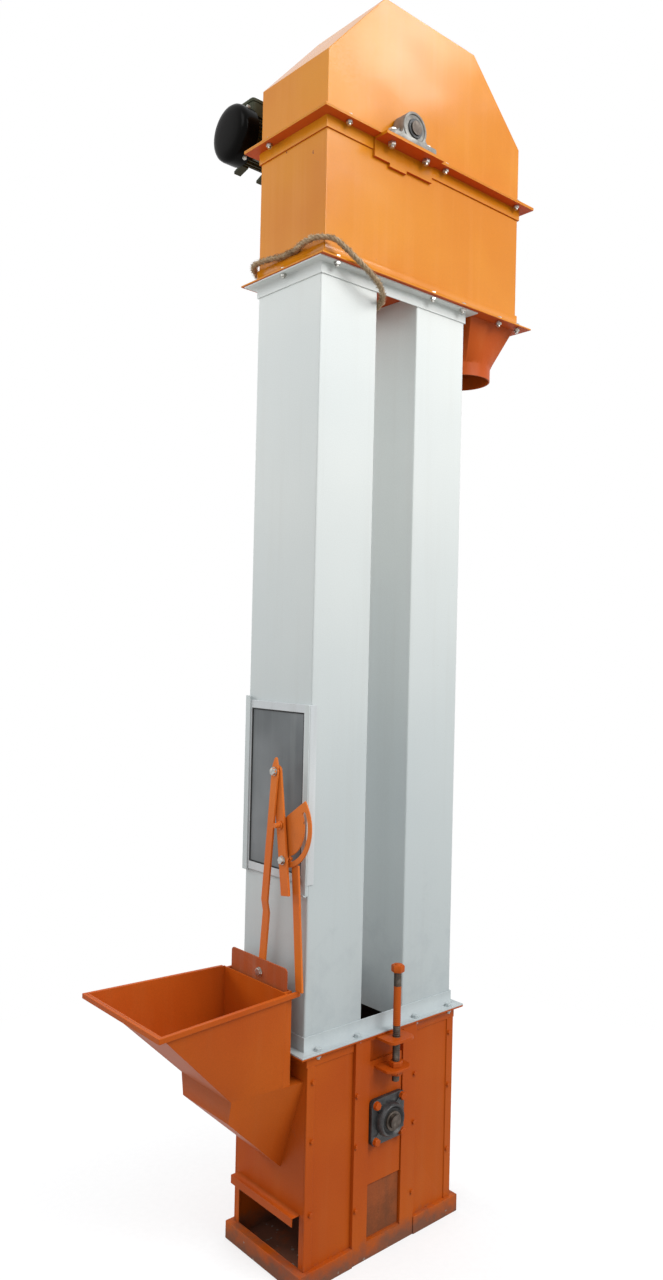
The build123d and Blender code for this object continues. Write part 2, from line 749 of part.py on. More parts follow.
# Angle bracket let into the flange to carry the head bearing
with BuildPart() as bearing_bracket_front:
    with BuildSketch(Plane.XY.offset(seat_z - heavy_plate)):
        with Locations((0, -head_half_depth - bracket_seat_depth / 2)):
            Rectangle(2 * bracket_seat_half, bracket_seat_depth)
        with Locations((-pillow_bolt_pitch / 2, -front_seat), (pillow_bolt_pitch / 2, -front_seat)):
            Circle(pillow_bolt_radius, mode=Mode.SUBTRACT)
    extrude(amount=heavy_plate)
    with BuildSketch(Plane.XZ.offset(head_half_depth)):
        with Locations((0, seat_z - heavy_plate - bracket_seat_drop / 2)):
            Rectangle(2 * bracket_seat_half, bracket_seat_drop)
        with Locations(((bracket_step_left + bracket_step_right) / 2,
                        seat_z - heavy_plate - (bracket_seat_drop + bracket_step_drop) / 2)):
            Rectangle(bracket_step_right - bracket_step_left, bracket_seat_drop + bracket_step_drop)
    extrude(amount=heavy_plate)
bearing_bracket_front.part.label = "bearing_bracket_front"
export_step(bearing_bracket_front.part, "parts/bearing_bracket_front.step")

with BuildPart() as bearing_bracket_back:
    add(bearing_bracket_front.part.mirror(Plane.XZ))
bearing_bracket_back.part.label = "bearing_bracket_back"
export_step(bearing_bracket_back.part, "parts/bearing_bracket_back.step")

# Pillow block of the head shaft
with BuildPart() as head_bearing_front:
    with BuildSketch(Plane.XY.offset(seat_z)):
        with Locations((0, -front_seat)):
            RectangleRounded(pillow_base_length, pillow_base_width, pillow_base_width / 4)
        with Locations((-pillow_bolt_pitch / 2, -front_seat), (pillow_bolt_pitch / 2, -front_seat)):
            Circle(pillow_bolt_radius, mode=Mode.SUBTRACT)
    extrude(amount=pillow_base_thick)
    with BuildSketch(Plane.XZ.offset(front_seat - pillow_body_depth / 2)):
        with Locations((0, head_z)):
            Circle(pillow_ring_radius)
        with BuildLine():
            Polyline((-pillow_waist_half, seat_z), (pillow_waist_half, seat_z),
                     (pillow_waist_half, seat_z + pillow_base_thick), (pillow_ring_radius, head_z),
                     (-pillow_ring_radius, head_z), (-pillow_waist_half, seat_z + pillow_base_thick),
                     close=True)
        make_face()
    extrude(amount=pillow_body_depth)
    for face_y in (front_seat + pillow_body_depth / 2 - insert_recess, front_seat - pillow_body_depth / 2):
        with BuildSketch(Plane.XZ.offset(face_y)):
            with Locations((0, head_z)):
                Circle(insert_radius)
                Circle(shaft_radius + insert_race, mode=Mode.SUBTRACT)
        extrude(amount=insert_recess, mode=Mode.SUBTRACT)
    with BuildSketch(Plane.XZ.offset(front_seat - pillow_base_width)):
        with Locations((0, head_z)):
            Circle(shaft_radius + bore_gap)
    extrude(amount=2 * pillow_base_width, mode=Mode.SUBTRACT)
head_bearing_front.part.label = "head_bearing_front"
export_step(head_bearing_front.part, "parts/head_bearing_front.step")

with BuildPart() as head_bearing_back:
    add(head_bearing_front.part.mirror(Plane.XZ))
head_bearing_back.part.label = "head_bearing_back"
export_step(head_bearing_back.part, "parts/head_bearing_back.step")

# Discharge spout: a square mouth that narrows to a round stub
stub_top_z = leg_head_z - spout_taper
with BuildPart() as discharge_spout:
    with BuildSketch(Plane.XY.offset(leg_head_z)):
        with Locations((mouth_mid_x, 0)):
            Rectangle(spout_right_x - spout_left_x, 2 * leg_half_depth)
    with BuildSketch(Plane.XY.offset(stub_top_z)):
        with Locations((spout_x, 0)):
            Circle(spout_radius)
    loft()
    with BuildSketch(Plane.XY.offset(stub_top_z - spout_stub)):
        with Locations((spout_x, 0)):
            Circle(spout_radius)
    extrude(amount=spout_stub)
    with BuildSketch(Plane.XY.offset(leg_head_z)):
        with Locations((mouth_mid_x, 0)):
            Rectangle(mouth_length, 2 * (leg_half_depth - sheet))
    with BuildSketch(Plane.XY.offset(stub_top_z)):
        with Locations((spout_x, 0)):
            Circle(spout_radius - sheet)
    loft(mode=Mode.SUBTRACT)
    with BuildSketch(Plane.XY.offset(stub_top_z - spout_stub)):
        with Locations((spout_x, 0)):
            Circle(spout_radius - sheet)
    extrude(amount=spout_stub, mode=Mode.SUBTRACT)
discharge_spout.part.label = "discharge_spout"
export_step(discharge_spout.part, "parts/discharge_spout.step")

# Hopper shell: a flared upper body and a tapered chute down to the inlet wall
knee_back_half = chute_top_half(hopper_back_x)
floor_slope = (knee_x - mouth_x) / (rim_z - knee_z)
side_slope = (mouth_half - knee_half) / (rim_z - knee_z)
floor_wall = sheet * sqrt(1 + floor_slope ** 2)
throat_drop = 2 * sheet
throat_x = knee_x + floor_slope * throat_drop + floor_wall
throat_half = knee_half - side_slope * throat_drop - sheet
with BuildPart() as hopper:
    with BuildSketch(Plane.XY.offset(knee_z)):
        with BuildLine():
            Polyline((knee_x, knee_half), (hopper_back_x, knee_back_half),
                     (hopper_back_x, -knee_back_half), (knee_x, -knee_half), close=True)
        make_face()
    with BuildSketch(Plane.XY.offset(rim_z)):
        with BuildLine():
            Polyline((mouth_x, mouth_half), (hopper_back_x, hopper_back_half),
                     (hopper_back_x, -hopper_back_half), (mouth_x, -mouth_half), close=True)
        make_face()
    loft()
    with BuildSketch(Plane.YZ.offset(knee_x)):
        with BuildLine():
            Polyline((-knee_low_half, knee_z - knee_drop), (knee_low_half, knee_z - knee_drop),
                     (knee_half, knee_z), (-knee_half, knee_z), close=True)
        make_face()
    with BuildSketch(Plane.YZ.offset(-boot_half_length)):
        with BuildLine():
            Polyline((-neck_low_half, neck_floor_z), (neck_low_half, neck_floor_z),
                     (neck_top_half, knee_z), (-neck_top_half, knee_z), close=True)
        make_face()
    loft()
    with BuildSketch(Plane.XY.offset(knee_z - throat_drop)):
        with BuildLine():
            Polyline((throat_x, throat_half), (hopper_back_x + sheet, knee_back_half - sheet),
                     (hopper_back_x + sheet, sheet - knee_back_half), (throat_x, -throat_half), close=True)
        make_face()
    with BuildSketch(Plane.XY.offset(rim_z)):
        with BuildLine():
            Polyline((mouth_x + floor_wall, mouth_half - sheet),
                     (hopper_back_x + sheet, hopper_back_half - sheet),
                     (hopper_back_x + sheet, sheet - hopper_back_half),
                     (mouth_x + floor_wall, sheet - mouth_half), close=True)
        make_face()
    loft(mode=Mode.SUBTRACT)
    with BuildSketch(Plane.YZ.offset(knee_x + sheet)):
        with BuildLine():
            Polyline((sheet - knee_low_half, knee_z - knee_drop + sheet / 2),
                     (knee_low_half - sheet, knee_z - knee_drop + sheet / 2),
                     (knee_half - sheet, knee_z - sheet), (sheet - knee_half, knee_z - sheet), close=True)
        make_face()
    with BuildSketch(Plane.YZ.offset(-boot_half_length)):
        with BuildLine():
            Polyline((sheet - neck_low_half, neck_floor_z + sheet),
                     (neck_low_half - sheet, neck_floor_z + sheet),
                     (neck_top_half - sheet, knee_z - sheet),
                     (sheet - neck_top_half, knee_z - sheet), close=True)
        make_face()
    loft(mode=Mode.SUBTRACT)
    slot_start_x = hopper_back_x + sheet
    slot_end_x = gate_x + gate_thick + pass_gap
    slot_half_y = gate_half + slide_gap
    with BuildSketch(Plane.XY.offset(knee_z - throat_drop)):
        with Locations(((slot_start_x + slot_end_x) / 2, 0)):
            Rectangle(slot_end_x - slot_start_x, 2 * slot_half_y)
    extrude(amount=3 * sheet, mode=Mode.SUBTRACT)
hopper.part.label = "hopper"
export_step(hopper.part, "parts/hopper.step")

# Narrow rim round the three open sides of the mouth
rim_slope = (mouth_half - hopper_back_half) / (hopper_back_x - mouth_x)
rim_tail_half = hopper_back_half - rim_slope * rim_tail
with BuildPart() as hopper_rim:
    with BuildSketch(Plane.XY.offset(rim_z - rim_thick)):
        with BuildLine():
            Polyline((hopper_back_x, hopper_back_half), (mouth_x, mouth_half), (mouth_x, -mouth_half),
                     (hopper_back_x + rim_tail, -rim_tail_half),
                     (hopper_back_x + rim_tail, -rim_tail_half - rim_flange),
                     (mouth_x - rim_flange, -mouth_half - rim_flange),
                     (mouth_x - rim_flange, mouth_half + rim_flange),
                     (hopper_back_x, hopper_back_half + rim_flange), close=True)
        make_face()
    extrude(amount=rim_thick)
hopper_rim.part.label = "hopper_rim"
export_step(hopper_rim.part, "parts/hopper_rim.step")

# Back plate of the hopper with the two guides of the gate
guide_in = gate_half + slide_gap
plate_top_half = hopper_back_half - rim_slope * sheet
guide_back = gate_x + gate_thick + 2 * slide_gap
with BuildPart() as gate_guides:
    with BuildSketch(Plane.YZ.offset(hopper_back_x)):
        with BuildLine():
            Polyline((-knee_back_half, knee_z), (knee_back_half, knee_z),
                     (plate_top_half, rim_z), (-plate_top_half, rim_z), close=True)
        make_face()
    extrude(amount=sheet)
    with BuildSketch(Plane.XY.offset(knee_z)):
        for side in (1, -1):
            with BuildLine():
                Polyline((hopper_back_x + sheet, side * back_plate_half),
                         (hopper_back_x + sheet, side * guide_in), (guide_back, side * guide_in),
                         (guide_back, side * (guide_in - gate_guide_lip)),
                         (guide_back + gate_guide_thick, side * (guide_in - gate_guide_lip)),
                         (guide_back + gate_guide_thick, side * back_plate_half), close=True)
            make_face()
    extrude(amount=rim_z - knee_z)
gate_guides.part.label = "gate_guides"
export_step(gate_guides.part, "parts/gate_guides.step")

# Gate plate: it runs in the guides, and its lower end is cut to the section of the chute
blade_x = gate_x + gate_thick
blade_low_z = chute_low_z(gate_x) + sheet + pass_gap + gate_travel
blade_low_half = chute_low_half(blade_x) - sheet - pass_gap
blade_top_z = knee_z + gate_travel
foot_z = gate_top_z - link_foot_drop
with BuildPart() as gate_plate:
    with BuildSketch(Plane.YZ.offset(gate_x)):
        with BuildLine():
            Polyline((-blade_low_half, blade_low_z), (blade_low_half, blade_low_z),
                     (gate_half, blade_top_z), (gate_half, gate_top_z),
                     (-gate_half, gate_top_z), (-gate_half, blade_top_z), close=True)
        make_face()
        fillet(vertices().group_by(Axis.Y)[-1], radius=sheet * 3)
    extrude(amount=gate_thick)
    with BuildSketch(Plane.YZ.offset(gate_x)):
        with Locations((link_foot_y, foot_z)):
            RegularPolygon(pin_head_radius, 6)
    extrude(amount=-foot_head)
gate_plate.part.label = "gate_plate"
export_step(gate_plate.part, "parts/gate_plate.step")

# Lever with its handle end, drawn upright at its pivot and then leaned over
lever_lean = Location((0, lever_pivot_y, lever_pivot_z), (-lever_tilt, 0, 0))
with BuildPart() as lever_form:
    with BuildSketch(Plane.YZ.offset(lever_x)):
        with BuildLine():
            Polyline((-lever_width / 2, -lever_tail), (lever_width / 2, -lever_tail), (lever_eye, lever_arm),
                     (-lever_eye, lever_arm), close=True)
        make_face()
        with Locations((0, lever_arm)):
            Circle(lever_eye)
        with Locations((0, 0), (0, lever_arm)):
            Circle(pin_radius + pin_gap, mode=Mode.SUBTRACT)
    extrude(amount=lever_thick)
    lock_reach = quadrant_x + quadrant_thick + pin_head + slide_gap
    with BuildSketch(Plane.YZ.offset(lever_x - pin_head)):
        with Locations((0, -slot_radius)):
            Circle(pin_radius - 1)
    extrude(amount=lock_reach - lever_x + 2 * pin_head)
    with BuildSketch(Plane.YZ.offset(lever_x - pin_head)):
        with Locations((0, -slot_radius)):
            RegularPolygon(pin_head_radius - 1, 6)
    extrude(amount=pin_head)
    with BuildSketch(Plane.YZ.offset(quadrant_x + quadrant_thick + slide_gap)):
        with Locations((0, -slot_radius)):
            RegularPolygon(pin_head_radius - 1, 6)
    extrude(amount=pin_head)
with BuildPart() as gate_lever:
    add(lever_form.part.moved(lever_lean))
gate_lever.part.label = "gate_lever"
export_step(gate_lever.part, "parts/gate_lever.step")

# Link from the lever eye to the gate, joggled back to lie behind the gate plate
eye_y = lever_pivot_y + lever_arm * sin(radians(lever_tilt))
eye_z = lever_pivot_z + lever_arm * cos(radians(lever_tilt))
link_length = sqrt((eye_y - link_foot_y) ** 2 + (eye_z - foot_z) ** 2)
link_lean = degrees(atan2(eye_y - link_foot_y, eye_z - foot_z))
joggle = link_joggle_z - foot_z
link_place = Location((0, link_foot_y, foot_z), (-link_lean, 0, 0))
with BuildPart() as link_form:
    with BuildSketch(Plane.XZ):
        with BuildLine():
            Polyline((link_x, -link_width / 2), (link_x + lever_thick, -link_width / 2),
                     (link_x + lever_thick, joggle - link_joggle_run / 2),
                     (link_top_x + lever_thick, joggle + link_joggle_run / 2),
                     (link_top_x + lever_thick, link_length + link_width / 2),
                     (link_top_x, link_length + link_width / 2), (link_top_x, joggle + link_joggle_run / 2),
                     (link_x, joggle - link_joggle_run / 2), close=True)
        make_face()
    extrude(amount=link_width / 2, both=True)
    with BuildSketch(Plane.YZ.offset(link_top_x)):
        with Locations((0, link_length / 2)):
            SlotCenterToCenter(link_length, link_width, rotation=90)
    extrude(amount=link_joggle + lever_thick, mode=Mode.INTERSECT)
    with BuildSketch(Plane.YZ.offset(link_top_x - pin_head)):
        with Locations((0, link_length)):
            Circle(pin_radius)
    extrude(amount=lever_x + lever_thick - link_top_x + pin_head + slide_gap + pin_head / 2)
    with BuildSketch(Plane.YZ.offset(link_top_x - pin_head)):
        with Locations((0, link_length)):
            RegularPolygon(pin_head_radius, 6)
    extrude(amount=pin_head)
    with BuildSketch(Plane.YZ.offset(link_x + lever_thick)):
        with Locations((0, 0)):
            RegularPolygon(pin_head_radius, 6)
    extrude(amount=foot_head)
with BuildPart() as gate_link:
    add(link_form.part.moved(link_place))
gate_link.part.label = "gate_link"
export_step(gate_link.part, "parts/gate_link.step")

# Slotted quadrant plate with the lever pivot pin
corner_reach = 3 * quadrant_radius
edge_angle = radians(270 - quadrant_end)
shoulder_z = lever_pivot_z + lever_width / 2
slot_line = CenterArc((lever_pivot_y, lever_pivot_z), slot_radius, 270 - slot_end, slot_end - slot_start)
with BuildPart() as lever_quadrant:
    with BuildSketch(Plane.YZ.offset(quadrant_x)):
        with BuildLine():
            Polyline((lever_pivot_y + lever_width / 2, lever_pivot_z - corner_reach),
                     (lever_pivot_y + lever_width / 2, shoulder_z), (lever_pivot_y, shoulder_z),
                     (lever_pivot_y + corner_reach * cos(edge_angle),
                      shoulder_z + corner_reach * sin(edge_angle)),
                     (lever_pivot_y - corner_reach, lever_pivot_z - corner_reach), close=True)
        make_face()
        with Locations((lever_pivot_y, lever_pivot_z)):
            Circle(quadrant_radius, mode=Mode.INTERSECT)
    extrude(amount=quadrant_thick)
    with BuildSketch(Plane.YZ.offset(quadrant_x)):
        SlotArc(slot_line, slot_width)
    extrude(amount=quadrant_thick, mode=Mode.SUBTRACT)
    with BuildSketch(Plane.YZ.offset(lever_x - pivot_reach)):
        with Locations((lever_pivot_y, lever_pivot_z)):
            Circle(pin_radius)
    extrude(amount=quadrant_x - lever_x + pivot_reach + quadrant_thick)
    with BuildSketch(Plane.YZ.offset(lever_x - slide_gap / 2 - collar_thick)):
        with Locations((lever_pivot_y, lever_pivot_z)):
            Circle(pin_head_radius)
    extrude(amount=collar_thick)
lever_quadrant.part.label = "lever_quadrant"
export_step(lever_quadrant.part, "parts/lever_quadrant.step")

# Leaning post that stands on the tail of the rim and carries the quadrant
post_x = quadrant_x + quadrant_thick
post_offset = sqrt((quadrant_radius - sheet) ** 2 - (post_top_y - lever_pivot_y) ** 2)
post_top_z = lever_pivot_z - post_offset
with BuildPart() as quadrant_post:
    with BuildSketch(Plane.YZ.offset(post_x)):
        with BuildLine():
            Polyline((post_foot_y - post_width / 2, rim_z), (post_foot_y + post_width / 2, rim_z),
                     (post_top_y + post_width / 2, post_top_z), (post_top_y - post_width / 2, post_top_z),
                     close=True)
        make_face()
    extrude(amount=post_thick)
quadrant_post.part.label = "quadrant_post"
export_step(quadrant_post.part, "parts/quadrant_post.step")

# Gear reducer hung on the back end of the head shaft
with BuildPart() as gear_reducer:
    body_top = worm_rise + worm_housing_radius - flange_plate
    with BuildSketch(Plane.XZ.offset(-reducer_y - reducer_half_width)):
        with Locations((0, head_z + (body_top - reducer_under) / 2)):
            RectangleRounded(2 * reducer_half_length, body_top + reducer_under, 6 * sheet)
    extrude(amount=2 * reducer_half_width)
    with BuildSketch(Plane.YZ.offset(-reducer_half_length - motor_flange_thick)):
        with Locations((reducer_y, worm_z)):
            Circle(motor_flange_radius)
    extrude(amount=motor_flange_thick)
    with BuildSketch(Plane.XZ.offset(-reducer_y - reducer_half_width)):
        with Locations((0, head_z)):
            Circle(shaft_radius + bore_gap)
    extrude(amount=2 * reducer_half_width, mode=Mode.SUBTRACT)
gear_reducer.part.label = "gear_reducer"
export_step(gear_reducer.part, "parts/gear_reducer.step")

motor_x = -reducer_half_length - motor_flange_thick
fan_x = motor_x - motor_length
with BuildPart() as drive_motor:
    with BuildSketch(Plane.YZ.offset(motor_x)):
        with Locations((reducer_y, worm_z)):
            Circle(motor_radius)
    extrude(amount=-motor_length)
    terminal_z = worm_z + motor_radius + terminal_height / 2
    with BuildSketch(Plane.YZ.offset(fan_x)):
        with Locations((reducer_y, terminal_z - sheet)):
            Rectangle(2 * terminal_half, terminal_height + 2 * sheet)
    extrude(amount=terminal_length)
drive_motor.part.label = "drive_motor"
export_step(drive_motor.part, "parts/drive_motor.step")

with BuildPart() as fan_cover:
    with BuildSketch(Plane.YZ.offset(fan_x)):
        with Locations((reducer_y, worm_z)):
            Circle(fan_cover_radius)
    extrude(amount=-fan_cover_length)
    fillet(fan_cover.edges().sort_by(Axis.X)[0], radius=fan_cover_round)
fan_cover.part.label = "fan_cover"
export_step(fan_cover.part, "parts/fan_cover.step")

# Shelf bracket under the reducer
shelf_top_z = head_z - reducer_under
wall_face = head_half_depth + heavy_plate
shelf_end = reducer_y + reducer_half_width
wall_plate_top = seat_z - heavy_plate - bracket_seat_drop - bracket_step_drop
with BuildPart() as reducer_bracket:
    with BuildSketch(Plane.XY.offset(shelf_top_z - heavy_plate)):
        with Locations((0, (wall_face + shelf_end) / 2)):
            Rectangle(2 * reducer_half_length, shelf_end - wall_face)
    extrude(amount=heavy_plate)
    with BuildSketch(Plane.XZ.offset(-wall_face)):
        with Locations((0, wall_plate_top - bracket_wall_drop / 2)):
            Rectangle(2 * reducer_half_length, bracket_wall_drop)
    extrude(amount=heavy_plate)
    for gusset_x in (-reducer_half_length, reducer_half_length - gusset_thick):
        with BuildSketch(Plane.YZ.offset(gusset_x)):
            with BuildLine():
                Polyline((wall_face, wall_plate_top - bracket_wall_drop),
                         (shelf_end, shelf_top_z - heavy_plate),
                         (wall_face, shelf_top_z - heavy_plate), close=True)
            make_face()
        extrude(amount=gusset_thick)
reducer_bracket.part.label = "reducer_bracket"
export_step(reducer_bracket.part, "parts/reducer_bracket.step")

# Rope sling: it lies on the lower flange of the head round the inlet end, and both its sides
# drop over the edge of the flange and pass through the gap between the legs, where they meet
rope_wall_x = head_left_x - rope_radius - pin_gap
rope_rest_z = leg_head_z + head_foot_rise + rope_radius - pin_gap
rope_gap_z = leg_head_z - rope_gap_drop
front_route = [
    (-40, 0, rope_gap_z), (-40, -58, rope_gap_z), (-50, -108, rope_gap_z + 2), (-77, -154, 2450),
    (-118, -178, 2466), (-156, -183, 2484), (-190, -178, 2504), (-219, -166, 2528), (-253, -159, 2548),
    (-287, -124, 2550), (-279, -66, 2551), (rope_wall_x, -28, rope_rest_z), (rope_wall_x, 0, rope_rest_z),
]
rope_route = [Vector(*point) for point in front_route]
rope_bends = []
for before, here, after in zip(rope_route, rope_route[1:], rope_route[2:]):
    into = here - before
    out = after - here
    turn = radians(into.get_angle(out))
    rope_bends.append(0.45 * min(into.length, out.length) / tan(turn / 2))
print("rope bend radii", [round(bend) for bend in rope_bends])
with BuildPart() as rope_half:
    with BuildLine() as rope_path:
        FilletPolyline(*rope_route, radius=rope_bends)
    with BuildSketch(Plane(rope_path.line @ 0, z_dir=rope_path.line % 0)):
        Circle(rope_radius)
    sweep()
with BuildPart() as rope_sling:
    add(rope_half.part)
    add(rope_half.part.mirror(Plane.XZ))
rope_length = 2 * sum(edge.length for edge in rope_path.line.edges())
print("rope volume ratio", round(rope_sling.part.volume / (pi * rope_radius ** 2 * rope_length), 4))
rope_sling.part.label = "rope_sling"
export_step(rope_sling.part, "parts/rope_sling.step")
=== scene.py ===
import bpy
import bmesh
import random
from math import cos, pi, radians, sin, sqrt
from mathutils import Matrix, Vector


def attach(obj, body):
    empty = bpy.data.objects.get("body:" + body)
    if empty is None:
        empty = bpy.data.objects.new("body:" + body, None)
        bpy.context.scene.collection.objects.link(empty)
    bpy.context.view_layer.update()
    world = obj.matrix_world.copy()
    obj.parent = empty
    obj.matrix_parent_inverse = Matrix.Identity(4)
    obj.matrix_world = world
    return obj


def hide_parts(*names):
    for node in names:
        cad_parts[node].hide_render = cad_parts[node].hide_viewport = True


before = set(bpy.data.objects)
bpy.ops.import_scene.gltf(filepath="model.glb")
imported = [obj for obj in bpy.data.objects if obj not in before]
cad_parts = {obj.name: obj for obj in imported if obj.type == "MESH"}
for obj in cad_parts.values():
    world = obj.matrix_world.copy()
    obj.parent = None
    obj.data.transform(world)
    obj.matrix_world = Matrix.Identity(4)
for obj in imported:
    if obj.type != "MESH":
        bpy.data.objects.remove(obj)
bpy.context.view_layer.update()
scene = bpy.context.scene
scene.view_settings.view_transform = "Standard"
print("packed model loaded")


def mm(*values):
    # sizes are written in millimetres, as in the part's source, and turned to metres here
    return values[0] / 1000 if len(values) == 1 else Vector([value / 1000 for value in values])


def hexColour(text):
    # sRGB hex to the linear colour that a shader takes
    channels = [int(text[place:place + 2], 16) / 255 for place in (1, 3, 5)]
    return [c / 12.92 if c <= 0.04045 else ((c + 0.055) / 1.055) ** 2.4 for c in channels] + [1]


# camera, at the photograph's place
view = {"place": (-1.78247, -1.91508, 1.56003), "yaw": 41.43, "pitch": 0.33, "roll": 1.29, "lens": 27.14,
    "sensor": 36, "clipEnd": 60}


def makeCamera(look):
    yaw, pitch, roll = (radians(look[angle]) for angle in ("yaw", "pitch", "roll"))
    ahead = Vector((sin(yaw) * cos(pitch), cos(yaw) * cos(pitch), sin(pitch)))
    across = Vector((cos(yaw), -sin(yaw), 0))
    upward = across.cross(ahead)
    side = across * cos(roll) + upward * sin(roll)
    top = upward * cos(roll) - across * sin(roll)
    data = bpy.data.cameras.new("photoCamera")
    data.lens = look["lens"]
    data.sensor_width = data.sensor_height = look["sensor"]
    data.sensor_fit = "AUTO"
    data.clip_end = look["clipEnd"]
    camera = bpy.data.objects.new("photoCamera", data)
    scene.collection.objects.link(camera)
    camera.matrix_world = Matrix.Translation(look["place"]) @ Matrix((side, top, -ahead)).transposed().to_4x4()
    scene.camera = camera


makeCamera(view)


def addNode(tree, kind, inputs=None):
    # adds one node; a node or a socket among its inputs is a link, anything else a setting
    node = tree.nodes.new(kind)
    for name, value in (inputs or {}).items():
        if isinstance(value, bpy.types.Node):
            value = value.outputs[0]
        if isinstance(value, bpy.types.NodeSocket):
            tree.links.new(value, node.inputs[name])
        elif isinstance(name, int) or name in node.inputs:
            node.inputs[name].default_value = value
        else:
            setattr(node, name, value)
    return node


def newMaterial(name):
    material = bpy.data.materials.new(name)
    material.use_nodes = True
    material.node_tree.nodes.clear()
    return material, material.node_tree


def rampStops(ramp, *stops):
    # stops are (place, grey level or hex colour)
    band = ramp.color_ramp
    while len(band.elements) < len(stops):
        band.elements.new(0.5)
    for element, (place, shade) in zip(band.elements, stops):
        element.position = place
        element.color = hexColour(shade) if isinstance(shade, str) else (shade, shade, shade, 1)
    return ramp


# the upper works' paint, which the other paints change; lengths in millimetres, noise scales per metre
orange = {"colour": "#CE7A0A", "faded": "#D88A1A", "driftPerMetre": 2.6, "runs": 0.12, "dust": "#F0AC62",
    "soilTop": 2300, "soil": "#B4743C", "soilCover": 0.0, "chip": "#8A4A22", "lowChips": 0.0, "chipFrom": 0.79,
    "speck": 0.06, "roughness": 0.15, "wavesPerMetre": 3.6, "waveDepth": 10, "gloss": 0.36, "shade": 1.0,
    "shadeLow": 560, "shadeHigh": 2500}


def paintedSheet(name, changes):
    # sprayed enamel on folded steel: a soft gloss that runs in slow waves over the panels, dust and runs below
    paint = {**orange, **changes}
    material, tree = newMaterial(name)
    place = addNode(tree, "ShaderNodeTexCoord").outputs["Object"]
    # specks of dust and pinholes are drawn at 3 mm because the real half millimetre doesn't show
    grains = {"drift": (paint["driftPerMetre"], 3.0, 0.5), "soil": (16.0, 6.0, 0.68), "flake": (52.0, 2.0, 0.45),
        "speck": (330.0, 2.0, 0.6), "waves": (paint["wavesPerMetre"], 1.5, 0.4)}
    noise = {title: addNode(tree, "ShaderNodeTexNoise", {"Scale": scale, "Detail": detail, "Roughness": rough,
        "Vector": place}) for title, (scale, detail, rough) in grains.items()}
    runsPlace = addNode(tree, "ShaderNodeMapping", {"Scale": (26, 26, 1.3), "Vector": place})
    runs = addNode(tree, "ShaderNodeTexNoise", {"Scale": 1.0, "Detail": 4.0, "Roughness": 0.6, "Vector": runsPlace})
    height = addNode(tree, "ShaderNodeSeparateXYZ", {0: place}).outputs["Z"]
    # soil splash: thick at the ground, gone at soilTop; chips, small sharp flakes knocked off, sit low down too
    low = addNode(tree, "ShaderNodeMapRange", {1: mm(paint["soilTop"]), 2: 0.0, 3: 0.0, 4: 1.0, 0: height})
    soilSum = addNode(tree, "ShaderNodeMath", {"operation": "MULTIPLY_ADD", 1: 0.55, 0: low, 2: noise["soil"]})
    flakeSum = addNode(tree, "ShaderNodeMath", {"operation": "MULTIPLY_ADD", 1: paint["lowChips"], 0: low,
        2: noise["flake"]})
    # painted shade: the coat darkens evenly from shadeHigh down to shadeLow, towards the colour given as shade
    rise = addNode(tree, "ShaderNodeMapRange", {1: mm(paint["shadeLow"]), 2: mm(paint["shadeHigh"]), 0: height})
    bands = {"drift": (noise["drift"], (0.36, paint["colour"]), (0.66, paint["faded"])),
        "dust": (runs, (0.5, 0.0), (0.78, paint["runs"])),
        "soil": (soilSum, (0.66, 0.0), (1.0, paint["soilCover"])),
        "chip": (flakeSum, (paint["chipFrom"], 0.0), (paint["chipFrom"] + 0.012, 1.0)),
        "speck": (noise["speck"], (0.3, 1 - paint["speck"]), (0.7, 1.0)),
        "rise": (rise, (0.0, paint["shade"]), (1.0, 1.0))}
    band = {title: rampStops(addNode(tree, "ShaderNodeValToRGB", {"Fac": source}), *stops)
        for title, (source, *stops) in bands.items()}
    coat = band["drift"].outputs[0]
    for layer in ("dust", "soil", "chip"):
        coat = addNode(tree, "ShaderNodeMix", {"data_type": "RGBA", 0: band[layer], 6: coat,
            7: hexColour(paint[layer])}).outputs[2]
    for layer in ("speck", "rise"):
        coat = addNode(tree, "ShaderNodeMix", {"data_type": "RGBA", "blend_type": "MULTIPLY", 0: 1.0, 6: coat,
            7: band[layer]}).outputs[2]
    dull = addNode(tree, "ShaderNodeMath", {"operation": "MULTIPLY_ADD", 1: 0.35, 2: paint["roughness"],
        0: band["soil"]})
    mixed = addNode(tree, "ShaderNodeMath", {"operation": "MULTIPLY_ADD", 1: 0.16, "use_clamp": True,
        0: noise["drift"], 2: dull})
    waves = addNode(tree, "ShaderNodeBump", {"Strength": 1.0, "Distance": mm(paint["waveDepth"]),
        "Height": noise["waves"]})
    peel = addNode(tree, "ShaderNodeBump", {"Strength": 0.35, "Distance": mm(0.12), "Height": noise["speck"],
        "Normal": waves})
    chips = addNode(tree, "ShaderNodeBump", {"Strength": 0.5, "Distance": mm(0.5), "invert": True,
        "Height": band["chip"], "Normal": peel})
    shader = addNode(tree, "ShaderNodeBsdfPrincipled", {"Base Color": coat, "Roughness": mixed, "Normal": chips,
        "IOR": 1.5, "Specular IOR Level": paint["gloss"]})
    addNode(tree, "ShaderNodeOutputMaterial", {"Surface": shader})
    return material


